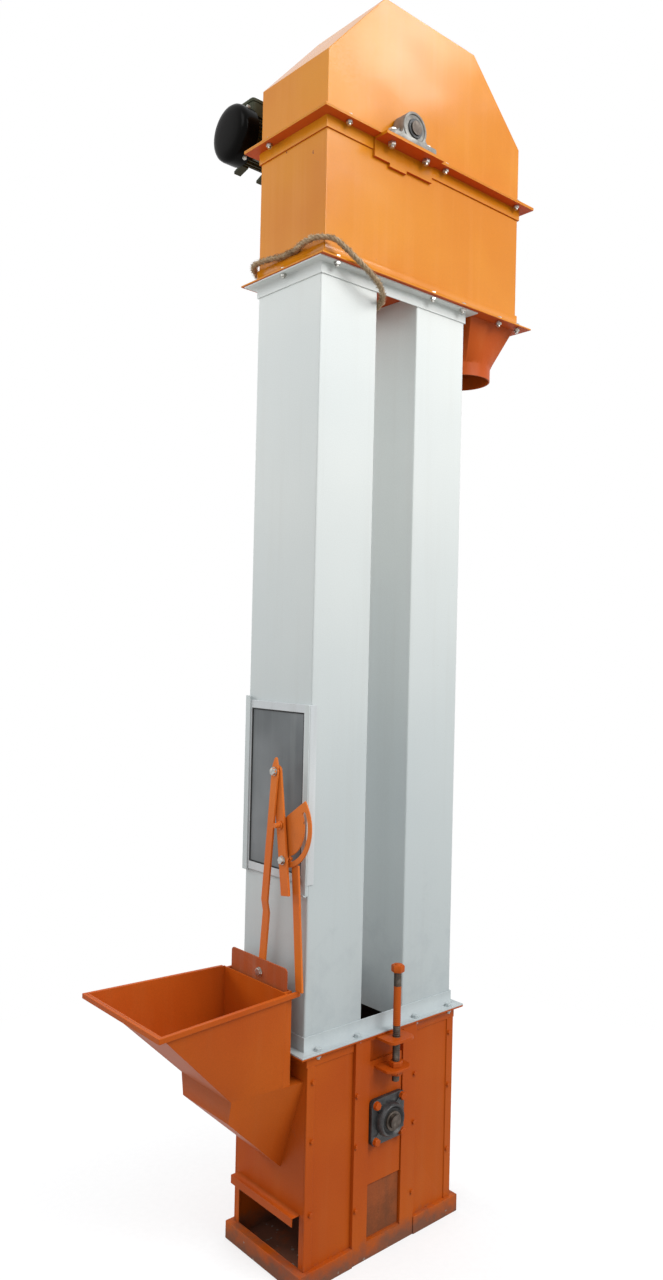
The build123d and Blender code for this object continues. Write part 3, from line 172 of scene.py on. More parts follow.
def metalSurface(name, metal):
    # cast, turned or plated metal: mottled colour and a bump at the size of its grain
    material, tree = newMaterial(name)
    place = addNode(tree, "ShaderNodeTexCoord").outputs["Object"]
    grain = addNode(tree, "ShaderNodeTexNoise", {"Scale": metal["grainPerMetre"], "Detail": 3.0, "Roughness": 0.6,
        "Vector": place})
    patch = addNode(tree, "ShaderNodeTexNoise", {"Scale": metal["patchPerMetre"], "Detail": 4.0, "Roughness": 0.6,
        "Vector": place})
    band = rampStops(addNode(tree, "ShaderNodeValToRGB", {"Fac": patch}), (0.3, metal["dark"]),
        (0.55, metal["colour"]), (0.75, metal["light"]))
    stain = rampStops(addNode(tree, "ShaderNodeValToRGB", {"Fac": grain}), (metal["stainFrom"], 0.0),
        (metal["stainFrom"] + 0.14, 1.0))
    mixed = addNode(tree, "ShaderNodeMix", {"data_type": "RGBA", 7: hexColour(metal["stain"]), 0: stain, 6: band})
    rough = addNode(tree, "ShaderNodeMath", {"operation": "MULTIPLY_ADD", 1: 0.25, 2: metal["roughness"], 0: patch})
    bump = addNode(tree, "ShaderNodeBump", {"Strength": 0.6, "Distance": mm(metal["grainDepth"]), "Height": grain})
    shader = addNode(tree, "ShaderNodeBsdfPrincipled", {"Base Color": mixed.outputs[2], "Roughness": rough,
        "Normal": bump, "Metallic": metal["metallic"]})
    addNode(tree, "ShaderNodeOutputMaterial", {"Surface": shader})
    return material


def wovenBelting(name):
    # rubber-covered fabric belting: black, matt, with the weave of its carcass showing through every 4 mm
    material, tree = newMaterial(name)
    place = addNode(tree, "ShaderNodeTexCoord").outputs["Object"]
    both = addNode(tree, "ShaderNodeMath", {"operation": "MULTIPLY"})
    for socket, direction in enumerate("YZ"):
        weave = addNode(tree, "ShaderNodeTexWave", {"Scale": 78.0, "Distortion": 0.6, "bands_direction": direction,
            "Vector": place})
        tree.links.new(weave.outputs["Fac"], both.inputs[socket])
    tint = rampStops(addNode(tree, "ShaderNodeValToRGB", {"Fac": both}), (0.1, "#141312"), (0.9, "#2B2927"))
    bump = addNode(tree, "ShaderNodeBump", {"Strength": 0.5, "Distance": mm(0.4), "Height": both})
    shader = addNode(tree, "ShaderNodeBsdfPrincipled", {"Base Color": tint, "Normal": bump, "Roughness": 0.78})
    addNode(tree, "ShaderNodeOutputMaterial", {"Surface": shader})
    return material


def twistedSisal(name):
    # sisal yarn: dry, hairy and pale brown, fibres running along each strand, dirt in the lay between them
    material, tree = newMaterial(name)
    along = addNode(tree, "ShaderNodeUVMap", {"uv_map": "strandMap"})
    fibrePlace = addNode(tree, "ShaderNodeMapping", {"Scale": (90, 900, 1), "Vector": along})
    fibre = addNode(tree, "ShaderNodeTexNoise", {"Scale": 1.0, "Detail": 4.0, "Roughness": 0.65,
        "Vector": fibrePlace})
    place = addNode(tree, "ShaderNodeTexCoord").outputs["Object"]
    patch = addNode(tree, "ShaderNodeTexNoise", {"Scale": 30.0, "Detail": 3.0, "Vector": place})
    summed = addNode(tree, "ShaderNodeMath", {"operation": "MULTIPLY_ADD", 1: 0.5, 0: patch, 2: fibre})
    tint = rampStops(addNode(tree, "ShaderNodeValToRGB", {"Fac": summed}), (0.5, "#775F46"), (0.75, "#AC9272"),
        (1.0, "#D6C4A4"))
    bump = addNode(tree, "ShaderNodeBump", {"Strength": 0.8, "Distance": mm(0.7), "Height": fibre})
    shader = addNode(tree, "ShaderNodeBsdfPrincipled", {"Base Color": tint, "Normal": bump, "Roughness": 0.85})
    addNode(tree, "ShaderNodeOutputMaterial", {"Surface": shader})
    return material


headEnamel = paintedSheet("orangeEnamelOnHead", {})  # the upper works stay clean and glossy
# painted shade: under the flanges the faces that look downwards get a darker, redder copy of the orange
shadedUndersideEnamel = paintedSheet("paintedShadeUnderFlanges", {"colour": "#C44C10", "faded": "#D05C1A", "dust": "#B87040",
    "roughness": 0.45, "waveDepth": 1, "gloss": 0.2})
# the boot and hopper took an older, redder coat, rubbed dull by grain and splashed at the ground
baseEnamel = paintedSheet("orangeEnamelOnBase", {"colour": "#B24B0C", "faded": "#BE5914", "runs": 0.2,
    "dust": "#B96A34", "soilTop": 78, "soil": "#735446", "soilCover": 0.85, "chip": "#97857A", "lowChips": 0.13,
    "chipFrom": 0.8, "speck": 0.12, "roughness": 0.42, "waveDepth": 4, "gloss": 0.15})
# the gate slides in grain: its coat is rubbed thin and dusty
gateEnamel = paintedSheet("rubbedEnamelOnGate", {"colour": "#A0461C", "faded": "#B25A30", "runs": 0.35,
    "dust": "#A98E7C", "soilTop": 300, "chip": "#8E8A84", "chipFrom": 0.74, "speck": 0.2, "roughness": 0.5,
    "waveDepth": 1, "gloss": 0.2})
# the spout has the boot's coat, a little fresher
spoutEnamel = paintedSheet("orangeEnamelOnSpout", {"colour": "#B5480A", "faded": "#C45A14", "dust": "#D08A50",
    "roughness": 0.4, "waveDepth": 3, "gloss": 0.22})
# the bars carry a clearer orange than the boot, so the linkage stands out from it
leverEnamel = paintedSheet("orangeEnamelOnBars", {"colour": "#CF6216", "faded": "#DA7426", "dust": "#C07A48",
    "soilTop": 600, "chipFrom": 0.76, "speck": 0.12, "roughness": 0.36, "waveDepth": 1, "gloss": 0.3})
# cold off-white that sets the legs apart, with painted shade that turns it greyer and bluer towards the ground
legEnamel = paintedSheet("offWhiteEnamelOnLegs", {"colour": "#DADEDC", "faded": "#E4E6E2", "runs": 0.16,
    "dust": "#CBC8C0", "soilTop": 1100, "soil": "#A3ABB2", "soilCover": 0.25, "shade": "#D0D6DA", "chip": "#8F8A80",
    "chipFrom": 0.82, "speck": 0.05, "waveDepth": 7, "driftPerMetre": 1.2, "wavesPerMetre": 2.4, "roughness": 0.3})
# mid grey under a clear gloss, so that the hatch reads as a cover
hatchEnamel = paintedSheet("greyEnamelOnHatch", {"colour": "#5E6264", "faded": "#7C8082", "runs": 0.25,
    "dust": "#9A9D9A", "soilTop": 900, "chip": "#3A3B3C", "chipFrom": 0.82, "speck": 0.08, "waveDepth": 6,
    "driftPerMetre": 4, "roughness": 0.26})
# a paler grey with runs of dirt on the hatch's bars
stripEnamel = paintedSheet("paleGreyEnamelOnStrips", {"colour": "#C4C8CA", "faded": "#D4D7D8", "runs": 0.35,
    "dust": "#A8A8A2", "soilTop": 900, "chip": "#6E6C68", "chipFrom": 0.8, "speck": 0.08, "waveDepth": 1,
    "roughness": 0.28})
# dark machine green under dust, dull beside the orange
motorEnamel = paintedSheet("greyGreenEnamelOnDrive", {"colour": "#3C3F2E", "faded": "#4A4C3A", "runs": 0.3,
    "dust": "#66634E", "soilTop": 2000, "chip": "#2E2C28", "chipFrom": 0.8, "speck": 0.16, "waveDepth": 0.8,
    "roughness": 0.42, "gloss": 0.15})
# near black with one small glint on the dome
coverEnamel = paintedSheet("blackEnamelOnFanCover", {"colour": "#070605", "faded": "#0D0B0A", "runs": 0.04,
    "dust": "#26221E", "soilTop": 2000, "chip": "#3A3732", "chipFrom": 0.84, "speck": 0.1, "waveDepth": 0.8,
    "roughness": 0.16, "gloss": 0.05})
bucketEnamel = paintedSheet("greyEnamelOnBuckets", {"colour": "#6A6B68", "faded": "#7C7C76", "dust": "#A08C68",
    "soilTop": 900, "chip": "#4A4640", "waveDepth": 0.8})  # dusty grey inside the casings
# the wall behind the take-up plate: the same coat under oil and grain dust
bayEnamel = paintedSheet("soiledEnamelInBay", {"colour": "#8E4620", "faded": "#A5562A", "runs": 0.45,
    "dust": "#6E4630", "soilTop": 300, "soil": "#5E3E2C", "soilCover": 0.6, "chip": "#C9B7A8", "chipFrom": 0.76,
    "speck": 0.2, "roughness": 0.5, "waveDepth": 2, "gloss": 0.2})
# sand-cast grey iron: dull, rough skin with brown specks where it has begun to rust
castIron = metalSurface("bareCastIron", {"colour": "#8C8A85", "dark": "#524E49", "light": "#B6B4AE",
    "stain": "#5C4230", "stainFrom": 0.62, "grainPerMetre": 260, "patchPerMetre": 22, "grainDepth": 0.9,
    "roughness": 0.42, "metallic": 0.55})
# the same casting under dark grey works paint and oil
darkIron = metalSurface("paintedCastIron", {"colour": "#353536", "dark": "#1D1C1C", "light": "#585653",
    "stain": "#6A3E26", "stainFrom": 0.72, "grainPerMetre": 240, "patchPerMetre": 30, "grainDepth": 0.9,
    "roughness": 0.28, "metallic": 0.2})
# bright zinc plate on bought-in bolts and nuts, slightly clouded
zincPlate = metalSurface("zincPlatedSteel", {"colour": "#C4C3BD", "dark": "#8C8A84", "light": "#E4E3DE",
    "stain": "#6C5A48", "stainFrom": 0.72, "grainPerMetre": 300, "patchPerMetre": 90, "grainDepth": 0.25,
    "roughness": 0.22, "metallic": 0.9})
# turned shafts and pulleys, dulled by handling
turnedSteel = metalSurface("turnedSteel", {"colour": "#5C544D", "dark": "#342D28", "light": "#857B71",
    "stain": "#4A2C1C", "stainFrom": 0.56, "grainPerMetre": 400, "patchPerMetre": 40, "grainDepth": 0.2,
    "roughness": 0.3, "metallic": 0.85})
# rolled thread left bare: dark, oily and a little rusty
bareThread = metalSurface("oiledThreadSteel", {"colour": "#4B443D", "dark": "#2C2724", "light": "#6E655B",
    "stain": "#6B3E22", "stainFrom": 0.56, "grainPerMetre": 350, "patchPerMetre": 60, "grainDepth": 0.25,
    "roughness": 0.38, "metallic": 0.6})
# soft black rubber, dusty and matt
sealRubber = metalSurface("blackRubberSeal", {"colour": "#161616", "dark": "#0C0C0C", "light": "#242322",
    "stain": "#3C3428", "stainFrom": 0.7, "grainPerMetre": 300, "patchPerMetre": 50, "grainDepth": 0.2,
    "roughness": 0.5, "metallic": 0.0})
belting = wovenBelting("fabricBackedRubber")
sisal = twistedSisal("threeStrandSisal")
print("finishes made")


def finishPiece(name, mesh, body, nodes=(), materials=()):
    # a finished mesh becomes a piece at the origin that rides on its body
    for material in materials:
        mesh.materials.append(material)
    piece = bpy.data.objects.new(name, mesh)
    scene.collection.objects.link(piece)
    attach(piece, body)
    if nodes:
        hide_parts(*nodes)
    return piece


def runModifiers(mesh, build):
    # puts the mesh on a passing object, lets build add its modifiers and returns the plain result
    passing = bpy.data.objects.new("passing", mesh)
    scene.collection.objects.link(passing)
    build(passing)
    bpy.context.view_layer.update()
    graph = bpy.context.evaluated_depsgraph_get()
    result = bpy.data.meshes.new_from_object(passing.evaluated_get(graph), preserve_all_data_layers=True,
        depsgraph=graph)
    passing.modifiers.clear()
    bpy.data.objects.remove(passing)
    return result


# foldFace is the smallest face in square metres that a fold takes, merge a distance in metres, the others degrees
rounding = {"foldFace": 0.008, "segments": 3, "merge": 0.00002, "flat": 0.6}


def roundEdges(work, fold, arris, angle=35):
    # fold is the radius of a folded corner between two large faces, arris the blunt edge of a cut plate
    weight = work.edges.layers.float.get("bevel_weight_edge") or work.edges.layers.float.new("bevel_weight_edge")
    for edge in work.edges:
        edge[weight] = 0
        if len(edge.link_faces) == 2 and edge.is_convex and edge.calc_face_angle(0) > radians(angle):
            large = min(face.calc_area() for face in edge.link_faces) > rounding["foldFace"]
            edge[weight] = 1 if large else arris / fold
    mesh = bpy.data.meshes.new("rounded")
    work.to_mesh(mesh)
    work.free()

    def build(passing):
        bevel = passing.modifiers.new("foldRadius", "BEVEL")
        bevel.width = mm(fold)
        bevel.segments = rounding["segments"]
        bevel.limit_method = "WEIGHT"
        bevel.use_clamp_overlap = True
        bevel.miter_outer = "MITER_ARC"
        passing.data.shade_smooth()
        weighted = passing.modifiers.new("evenNormals", "WEIGHTED_NORMAL")
        weighted.keep_sharp = True
    mesh.shade_smooth()
    mesh.set_sharp_from_angle(angle=radians(angle))
    return runModifiers(mesh, build)


def turnedOut(work):
    bmesh.ops.recalc_face_normals(work, faces=work.faces)
    return work


def closeMesh(name, work, smooth=True, sharp=None, rounded=None):
    # ends the building of a mesh, with a rounded mesh taken in where there is one
    for face in work.faces if smooth else ():
        face.smooth = True
    if rounded:
        work.from_mesh(rounded)
    mesh = bpy.data.meshes.new(name)
    work.to_mesh(mesh)
    work.free()
    if sharp:
        mesh.set_sharp_from_angle(angle=radians(sharp))
    return mesh


def cadCopy(*nodes):
    # the CAD meshes are loose triangles, so a copy is merged and its flat faces made whole
    work = bmesh.new()
    for node in nodes:
        work.from_mesh(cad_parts[node].data)
    bmesh.ops.remove_doubles(work, verts=work.verts, dist=rounding["merge"])
    bmesh.ops.dissolve_limit(work, angle_limit=radians(rounding["flat"]), verts=work.verts, edges=work.edges)
    return work


shadedUndersideNodes = ("head_box", "head_top_angle", "bearing_bracket_front", "bearing_bracket_back")


def softened(node, body, material, fold=2.5, arris=0.8):
    mesh = roundEdges(cadCopy(node), fold, arris)
    mesh.materials.clear()
    # the second coat is painted shade for the faces that look downwards
    coats = [material]
    if node in shadedUndersideNodes:
        coats.append(shadedUndersideEnamel)
        for face in mesh.polygons:
            face.material_index = 1 if face.normal.z < -0.8 else 0
    return finishPiece(node + "_sheet", mesh, body, [node], coats)


def prism(work, outline, start, end, axis="Y"):
    # a closed outline in millimetres, drawn in the plane square to the axis, pushed from start to end
    def corner(pair, along):
        u, v = pair
        return work.verts.new(mm(*{"X": (along, u, v), "Y": (u, along, v), "Z": (u, v, along)}[axis]))
    first, last = [[corner(pair, along) for pair in outline] for along in (start, end)]
    work.faces.new(first)
    work.faces.new(last[::-1])
    for here in range(len(outline)):
        after = (here + 1) % len(outline)
        work.faces.new((first[here], last[here], last[after], first[after]))


turnings = {"X": ((0, 1, 0), (0, 0, 1), (1, 0, 0)), "Y": ((0, 0, 1), (1, 0, 0), (0, 1, 0)),
    "Z": ((1, 0, 0), (0, 1, 0), (0, 0, 1))}


def lathe(work, profile, centre, axis="Y", steps=56, index=0):
    # profile is (radius, distance along the axis) in millimetres from end to end; a radius of 0 closes the end
    first, second, along = (Vector(direction) for direction in turnings[axis])
    angles = [2 * pi * step / steps for step in range(steps)]
    rings = []
    for radius, distance in profile:
        spot = mm(*centre) + along * mm(distance)
        rim = [spot + (first * cos(angle) + second * sin(angle)) * mm(radius) for angle in angles]
        rings.append([work.verts.new(corner) for corner in (rim if radius else [spot])])
    for here, after in zip(rings, rings[1:]):
        for step in range(steps):
            corner = (step + 1) % steps
            loop = [here[step % len(here)], here[corner % len(here)], after[corner % len(after)],
                after[step % len(after)]]
            loop = [vert for place, vert in enumerate(loop) if vert not in loop[:place]]
            if len(loop) > 2:
                work.faces.new(loop).material_index = index


def skin(work, rings, index=0):
    # joins each ring of corners to the next, closes both ends and gives back the sides with their rows and columns
    sides = []
    for row, (here, after) in enumerate(zip(rings, rings[1:])):
        for column in range(len(here)):
            beside = (column + 1) % len(here)
            face = work.faces.new((here[column], here[beside], after[beside], after[column]))
            face.material_index = index
            sides.append((face, row, column))
    for end in (rings[0][::-1], rings[-1]):
        work.faces.new(end).material_index = index
    return sides


def arc(centre, radius, start, end, steps):
    return [(centre[0] + radius * cos(radians(start + (end - start) * step / steps)),
        centre[1] + radius * sin(radians(start + (end - start) * step / steps))) for step in range(steps + 1)]


def roundedBox(low, high, corner, steps=4):
    # outline of a rectangle with rounded corners
    left, bottom, right, top = low[0] + corner, low[1] + corner, high[0] - corner, high[1] - corner
    outline = []
    for start, centre in ((-90, (right, bottom)), (0, (right, top)), (90, (left, top)), (180, (left, bottom))):
        outline += arc(centre, corner, start, start + 90, steps)
    return outline


def startTree(name, sizes, counts):
    # a tree with named inputs for its sizes in metres, its whole numbers and its material
    tree = bpy.data.node_groups.new(name, "GeometryNodeTree")
    inputs = [("Geometry", "Geometry"), *((size, "Float") for size in sizes), *((count, "Int") for count in counts)]
    inputs.append(("Finish", "Material"))
    for title, kind in inputs:
        tree.interface.new_socket(title, in_out="INPUT", socket_type="NodeSocket" + kind)
    tree.interface.new_socket("Geometry", in_out="OUTPUT", socket_type="NodeSocketGeometry")
    return tree, addNode(tree, "NodeGroupInput").outputs


def endTree(tree, result, given):
    real = addNode(tree, "GeometryNodeRealizeInstances", {0: result})
    coated = addNode(tree, "GeometryNodeSetMaterial", {"Geometry": real, "Material": given["Finish"]})
    addNode(tree, "NodeGroupOutput", {0: coated})
    return tree


def growMesh(tree, mesh, settings):
    # runs a tree over a mesh with its named inputs set and gives back a plain mesh
    def build(passing):
        modifier = passing.modifiers.new("grow", "NODES")
        modifier.node_group = tree
        for item in tree.interface.items_tree:
            if item.in_out == "INPUT" and item.name in settings:
                modifier[item.identifier] = settings[item.name]
    return runModifiers(mesh, build)


# millimetres, in the order of boltSizes; the gate's head is low because it passes close to the hopper's back plate,
# and its nut stays inside the joint
boltSizes = ("Across Flats", "Head Height", "Washer Radius", "Washer Thickness", "Shank Radius", "Grip",
    "Shank Beyond")
boltKinds = {"flange": (15, 6.5, 10, 1.6, 4.8, 8.5, 11), "bearing": (19, 8, 12, 2.2, 6, 25.5, 14),
    "tail": (18, 8, 11, 1.8, 5.5, 20, 0),
    "link": (17, 7, 11, 1.4, 4.5, 6, 0), "gate": (18.5, 5.4, 12, 1, 4.5, -0.8, 4),
    "small": (10, 4.2, 6.5, 1.2, 3, 3, 3)}


def makeBoltTree():
    # a hex bolt on every point: chamfered head, washer, shank and nut, turned at random about its own axis
    tree, given = startTree("hexBolts", boltSizes, ["Seed"])
    corner = addNode(tree, "ShaderNodeMath", {"operation": "MULTIPLY", 1: 0.57735, 0: given["Across Flats"]})
    tall = addNode(tree, "ShaderNodeMath", {"operation": "MULTIPLY", 1: 0.84, 0: given["Head Height"]})
    rim = addNode(tree, "ShaderNodeMath", {"operation": "MULTIPLY", 1: 0.16, 0: given["Head Height"]})
    half = addNode(tree, "ShaderNodeMath", {"operation": "MULTIPLY", 1: 0.5, 0: tall})
    drop = addNode(tree, "ShaderNodeMath", {"operation": "MULTIPLY", 1: -1.0, 0: half})
    reach = addNode(tree, "ShaderNodeMath", {"operation": "ADD", 0: given["Grip"], 1: given["Shank Beyond"]})
    levels = {"Top": addNode(tree, "ShaderNodeMath", {"operation": "ADD", 0: half, 1: given["Washer Thickness"]}),
        "Bottom": addNode(tree, "ShaderNodeMath", {"operation": "SUBTRACT", 0: drop, 1: given["Grip"]})}
    solids = []
    for end, level in levels.items():
        block = addNode(tree, "GeometryNodeMeshCylinder", {"Vertices": 6, "Radius": corner, "Depth": tall})
        raised = addNode(tree, "GeometryNodeExtrudeMesh", {"Individual": False, "Mesh": block,
            "Selection": block.outputs[end], "Offset Scale": rim})
        pinched = addNode(tree, "GeometryNodeScaleElements", {"Scale": 0.84, "Geometry": raised,
            "Selection": raised.outputs["Top"]})
        solids.append((pinched, level))
    for sides, radius, depth, share in ((18, given["Washer Radius"], given["Washer Thickness"], 0.5),
            (12, given["Shank Radius"], reach.outputs[0], -0.5)):
        disc = addNode(tree, "GeometryNodeMeshCylinder", {"Vertices": sides, "Radius": radius, "Depth": depth})
        solids.append((disc, addNode(tree, "ShaderNodeMath", {"operation": "MULTIPLY", 1: share, 0: depth})))
    bolt = addNode(tree, "GeometryNodeJoinGeometry")
    for solid, level in solids:
        offset = addNode(tree, "ShaderNodeCombineXYZ", {"Z": level})
        moved = addNode(tree, "GeometryNodeTransform", {"Geometry": solid, "Translation": offset})
        tree.links.new(moved.outputs[0], bolt.inputs[0])
    axis = addNode(tree, "GeometryNodeInputNamedAttribute", {"data_type": "FLOAT_VECTOR", "Name": "axis"})
    aimed = addNode(tree, "FunctionNodeAlignRotationToVector", {"axis": "Z", "Vector": axis.outputs["Attribute"]})
    spin = addNode(tree, "FunctionNodeRandomValue", {"data_type": "FLOAT", "Seed": given["Seed"]})
    turn = addNode(tree, "ShaderNodeMath", {"operation": "MULTIPLY", 1: 1.0472, 0: spin.outputs[1]})
    about = addNode(tree, "FunctionNodeAxisAngleToRotation", {"Axis": (0, 0, 1), "Angle": turn})
    turned = addNode(tree, "FunctionNodeRotateRotation", {"rotation_space": "LOCAL", "Rotation": aimed,
        "Rotate By": about})
    placed = addNode(tree, "GeometryNodeInstanceOnPoints", {"Points": given["Geometry"], "Instance": bolt,
        "Rotation": turned})
    return endTree(tree, placed, given)


boltTree = makeBoltTree()


def placeBolts(name, body, kind, spots, finish=zincPlate, slotName="machined_steel"):
    # spots are (place in millimetres, direction of the head)
    mesh = bpy.data.meshes.new(name)
    mesh.from_pydata([mm(*place) for place, _ in spots], [], [])
    axis = mesh.attributes.new("axis", "FLOAT_VECTOR", "POINT")
    for here, (_, direction) in zip(axis.data, spots):
        here.vector = direction
    grown = growMesh(boltTree, mesh, {**dict(zip(boltSizes, map(mm, boltKinds[kind]))), "Seed": len(spots),
        "Finish": finish})
    grown.materials.clear()
    finishPiece(name, grown, body, (), [finish])


# sizes that the pieces share, from the part's source
size = {"bayFace": 149, "seat": 2855, "headShaft": 2898, "worm": 2961, "frontSeat": 158, "tailShaft": 345,
    "slideFace": 145.5, "screwOut": 181.5, "reducerOut": 270, "insertBore": 17.6}
# body, slot, paint, radius of the folds and of the cut edges, CAD nodes
sheets = (
    ("frame", "base_paint", baseEnamel, 2, 1,
    "base_frame boot_front_wall boot_back_wall boot_inlet_wall boot_end_wall boot_top_flange "
    "takeup_guides_front takeup_guides_back"),
    ("takeup", "base_paint", baseEnamel, 2, 1, "takeup_slide_front takeup_slide_back"),
    ("frame", "leg_paint", legEnamel, 4, 1, "inlet_leg return_leg"),
    ("frame", "leg_paint", legEnamel, 2, 1, "leg_foot_flange leg_head_flange"),
    ("frame", "head_paint", headEnamel, 4, 1, "head_box"),
    ("frame", "head_paint", headEnamel, 2, 1, "head_top_angle"),
    ("frame", "head_paint", headEnamel, 5, 1, "hood"),
    ("frame", "head_paint", headEnamel, 2, 1.2, "bearing_bracket_front bearing_bracket_back"),
    ("frame", "head_paint", spoutEnamel, 3, 0.9, "discharge_spout"),
    ("frame", "base_paint", baseEnamel, 3, 0.9, "hopper"),
    ("frame", "base_paint", baseEnamel, 1.5, 1, "hopper_rim"),
    ("frame", "base_paint", baseEnamel, 2, 1, "gate_guides"),
    ("gate", "base_paint", gateEnamel, 1.5, 1, "gate_plate"),
    ("lever", "base_paint", leverEnamel, 1.5, 1, "gate_lever"),
    ("link", "base_paint", leverEnamel, 1.5, 1, "gate_link"),
    ("frame", "base_paint", leverEnamel, 1.5, 1, "lever_quadrant quadrant_post"),
    ("frame", "head_paint", headEnamel, 2, 1.2, "reducer_bracket"),
    ("frame", "panel_paint", hatchEnamel, 1.5, 0.8, "hatch_panel"),
    ("frame", "leg_paint", stripEnamel, 1.5, 0.8, "hatch_frame"))
for body, slotName, material, fold, arris, nodes in sheets:
    for node in nodes.split():
        softened(node, body, material, fold, arris)
for node, material in (("bucket_belt", belting), ("buckets", bucketEnamel), ("head_pulley", turnedSteel),
        ("tail_pulley", turnedSteel)):
    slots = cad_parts[node].data.materials
    slots.clear()
    slots.append(material)
print("sheet metal rounded and painted")

# rope sling left on the lower flange of the head; its ends are butted and bound with twine between the legs
rope = {"diameter": 14, "strands": 3, "strandShare": 0.55, "lay": 38, "sides": 10, "hairs": 4200, "hairThick": 0.55,
    "joint": (-40, 0, 2442), "twineRadius": 1.3, "twineSides": 6, "twineTurns": 14, "twinePitch": 2.4,
    "stepsPerTurn": 20}
ropeSide = [(-40, 0, 2442), (-40, -58, 2442), (-50, -108, 2444), (-77, -154, 2450), (-118, -178, 2466),
    (-156, -183, 2484), (-190, -178, 2504), (-219, -166, 2528), (-253, -159, 2548), (-287, -124, 2550),
    (-279, -66, 2551), (-267.8, -28, 2548.7), (-267.8, 0, 2548.7)]
ropeRoute = [mm(*point) for point in ropeSide] + [mm(x, -y, z) for x, y, z in ropeSide[-2::-1]]


def splineThrough(route):
    # a smooth curve with the route's points as its control points
    data = bpy.data.curves.new("ropeLine", "CURVE")
    data.dimensions = "3D"
    data.resolution_u = 24
    spline = data.splines.new("NURBS")
    spline.points.add(len(route) - 1)
    for point, place in zip(spline.points, route):
        point.co = (*place, 1)
    spline.order_u = 3
    spline.use_endpoint_u = True
    line = bpy.data.objects.new("ropeLine", data)
    scene.collection.objects.link(line)
    bpy.context.view_layer.update()
    read = bpy.data.meshes.new_from_object(line.evaluated_get(bpy.context.evaluated_depsgraph_get()))
    points = [vert.co.copy() for vert in read.vertices]
    bpy.data.objects.remove(line)
    return points


def ropeFrame(points):
    # length run so far, heading and a sideways direction that doesn't twist, at each point
    last = len(points) - 1
    run = [0.0]
    for before, here in zip(points, points[1:]):
        run.append(run[-1] + (here - before).length)
    heading = [(points[min(n + 1, last)] - points[max(n - 1, 0)]).normalized() for n in range(last + 1)]
    side = heading[0].orthogonal().normalized()
    sides = []
    for ahead in heading:
        side = (side - ahead * side.dot(ahead)).normalized()
        sides.append(side)
    return run, heading, sides


def ringRound(work, centre, first, second, radius, count):
    turns = [2 * pi * k / count for k in range(count)]
    return [work.verts.new(centre + (first * cos(turn) + second * sin(turn)) * radius) for turn in turns]


def makeRope(look):
    points = splineThrough(ropeRoute)
    run, heading, sides = ropeFrame(points)
    radius, lay = mm(look["diameter"]) / 2, mm(look["lay"])
    strandRadius = radius * look["strandShare"]
    work = bmesh.new()
    strandMap = work.loops.layers.uv.new("strandMap")
    for strand in range(look["strands"]):
        rings = []
        for n, point in enumerate(points):
            turn = 2 * pi * (strand / look["strands"] + run[n] / lay)
            other = heading[n].cross(sides[n])
            outward = sides[n] * cos(turn) + other * sin(turn)
            slope = heading[n] + (other * cos(turn) - sides[n] * sin(turn)) * 2 * pi * (radius - strandRadius) / lay
            slope.normalize()
            first = (outward - slope * outward.dot(slope)).normalized()
            rings.append(ringRound(work, point + outward * (radius - strandRadius), first, slope.cross(first),
                strandRadius, look["sides"]))
        for face, n, k in skin(work, rings):
            spots = ((run[n], k), (run[n], k + 1), (run[n + 1], k + 1), (run[n + 1], k))
            for loop, (along, around) in zip(face.loops, spots):
                loop[strandMap].uv = (along, around * 0.0021 + strand * 0.05)
    mesh = closeMesh("rope_sling_strands", turnedOut(work))
    piece = finishPiece("rope_sling_strands", mesh, "frame", ["rope_sling"], [sisal])
    # loose fibres that stand out of the lay
    fuzz = bmesh.new()
    fuzzMap = fuzz.loops.layers.uv.new("strandMap")
    chance = random.Random(7)
    for _ in range(look["hairs"]):
        n = chance.randrange(2, len(points) - 2)
        turn = chance.uniform(0, 2 * pi)
        outward = sides[n] * cos(turn) + heading[n].cross(sides[n]) * sin(turn)
        root = points[n] + outward * radius * 0.85
        tip = root + outward * mm(chance.uniform(2, 7)) + heading[n] * mm(chance.uniform(-11, 11))
        bend = (root + tip) / 2 + outward * mm(0.8)
        width = heading[n].cross(outward) * mm(look["hairThick"])
        corners = [fuzz.verts.new(place) for place in (root - width, root + width, bend + width * 0.7,
            bend - width * 0.7, tip)]
        for corner in (corners[:4], (corners[3], corners[2], corners[4])):
            for loop in fuzz.faces.new(corner).loops:
                loop[fuzzMap].uv = (run[n], turn * 0.001)
    fibres = finishPiece("rope_sling_fibres", closeMesh("rope_sling_fibres", fuzz, False), "frame", (),
        [sisal])
    binding = bmesh.new()
    bindMap = binding.loops.layers.uv.new("strandMap")
    rings = []
    for step in range(look["twineTurns"] * look["stepsPerTurn"] + 1):
        turns = step / look["stepsPerTurn"]
        outward = Vector((cos(2 * pi * turns), 0, sin(2 * pi * turns)))
        middle = mm(*look["joint"]) + Vector((0, mm(look["twinePitch"] * (turns - look["twineTurns"] / 2)), 0))
        rings.append(ringRound(binding, middle + outward * (radius + mm(0.2)), outward, Vector((0, 1, 0)),
            mm(look["twineRadius"]), look["twineSides"]))
    for face, n, k in skin(binding, rings):
        face.smooth = True
        for loop in face.loops:
            loop[bindMap].uv = (n * 0.0025, k * 0.0014)
    bindMesh = closeMesh("rope_sling_binding", turnedOut(binding), False)
    twine = finishPiece("rope_sling_binding", bindMesh, "frame", (), [sisal])
    print("rope length", round(run[-1], 3))


makeRope(rope)

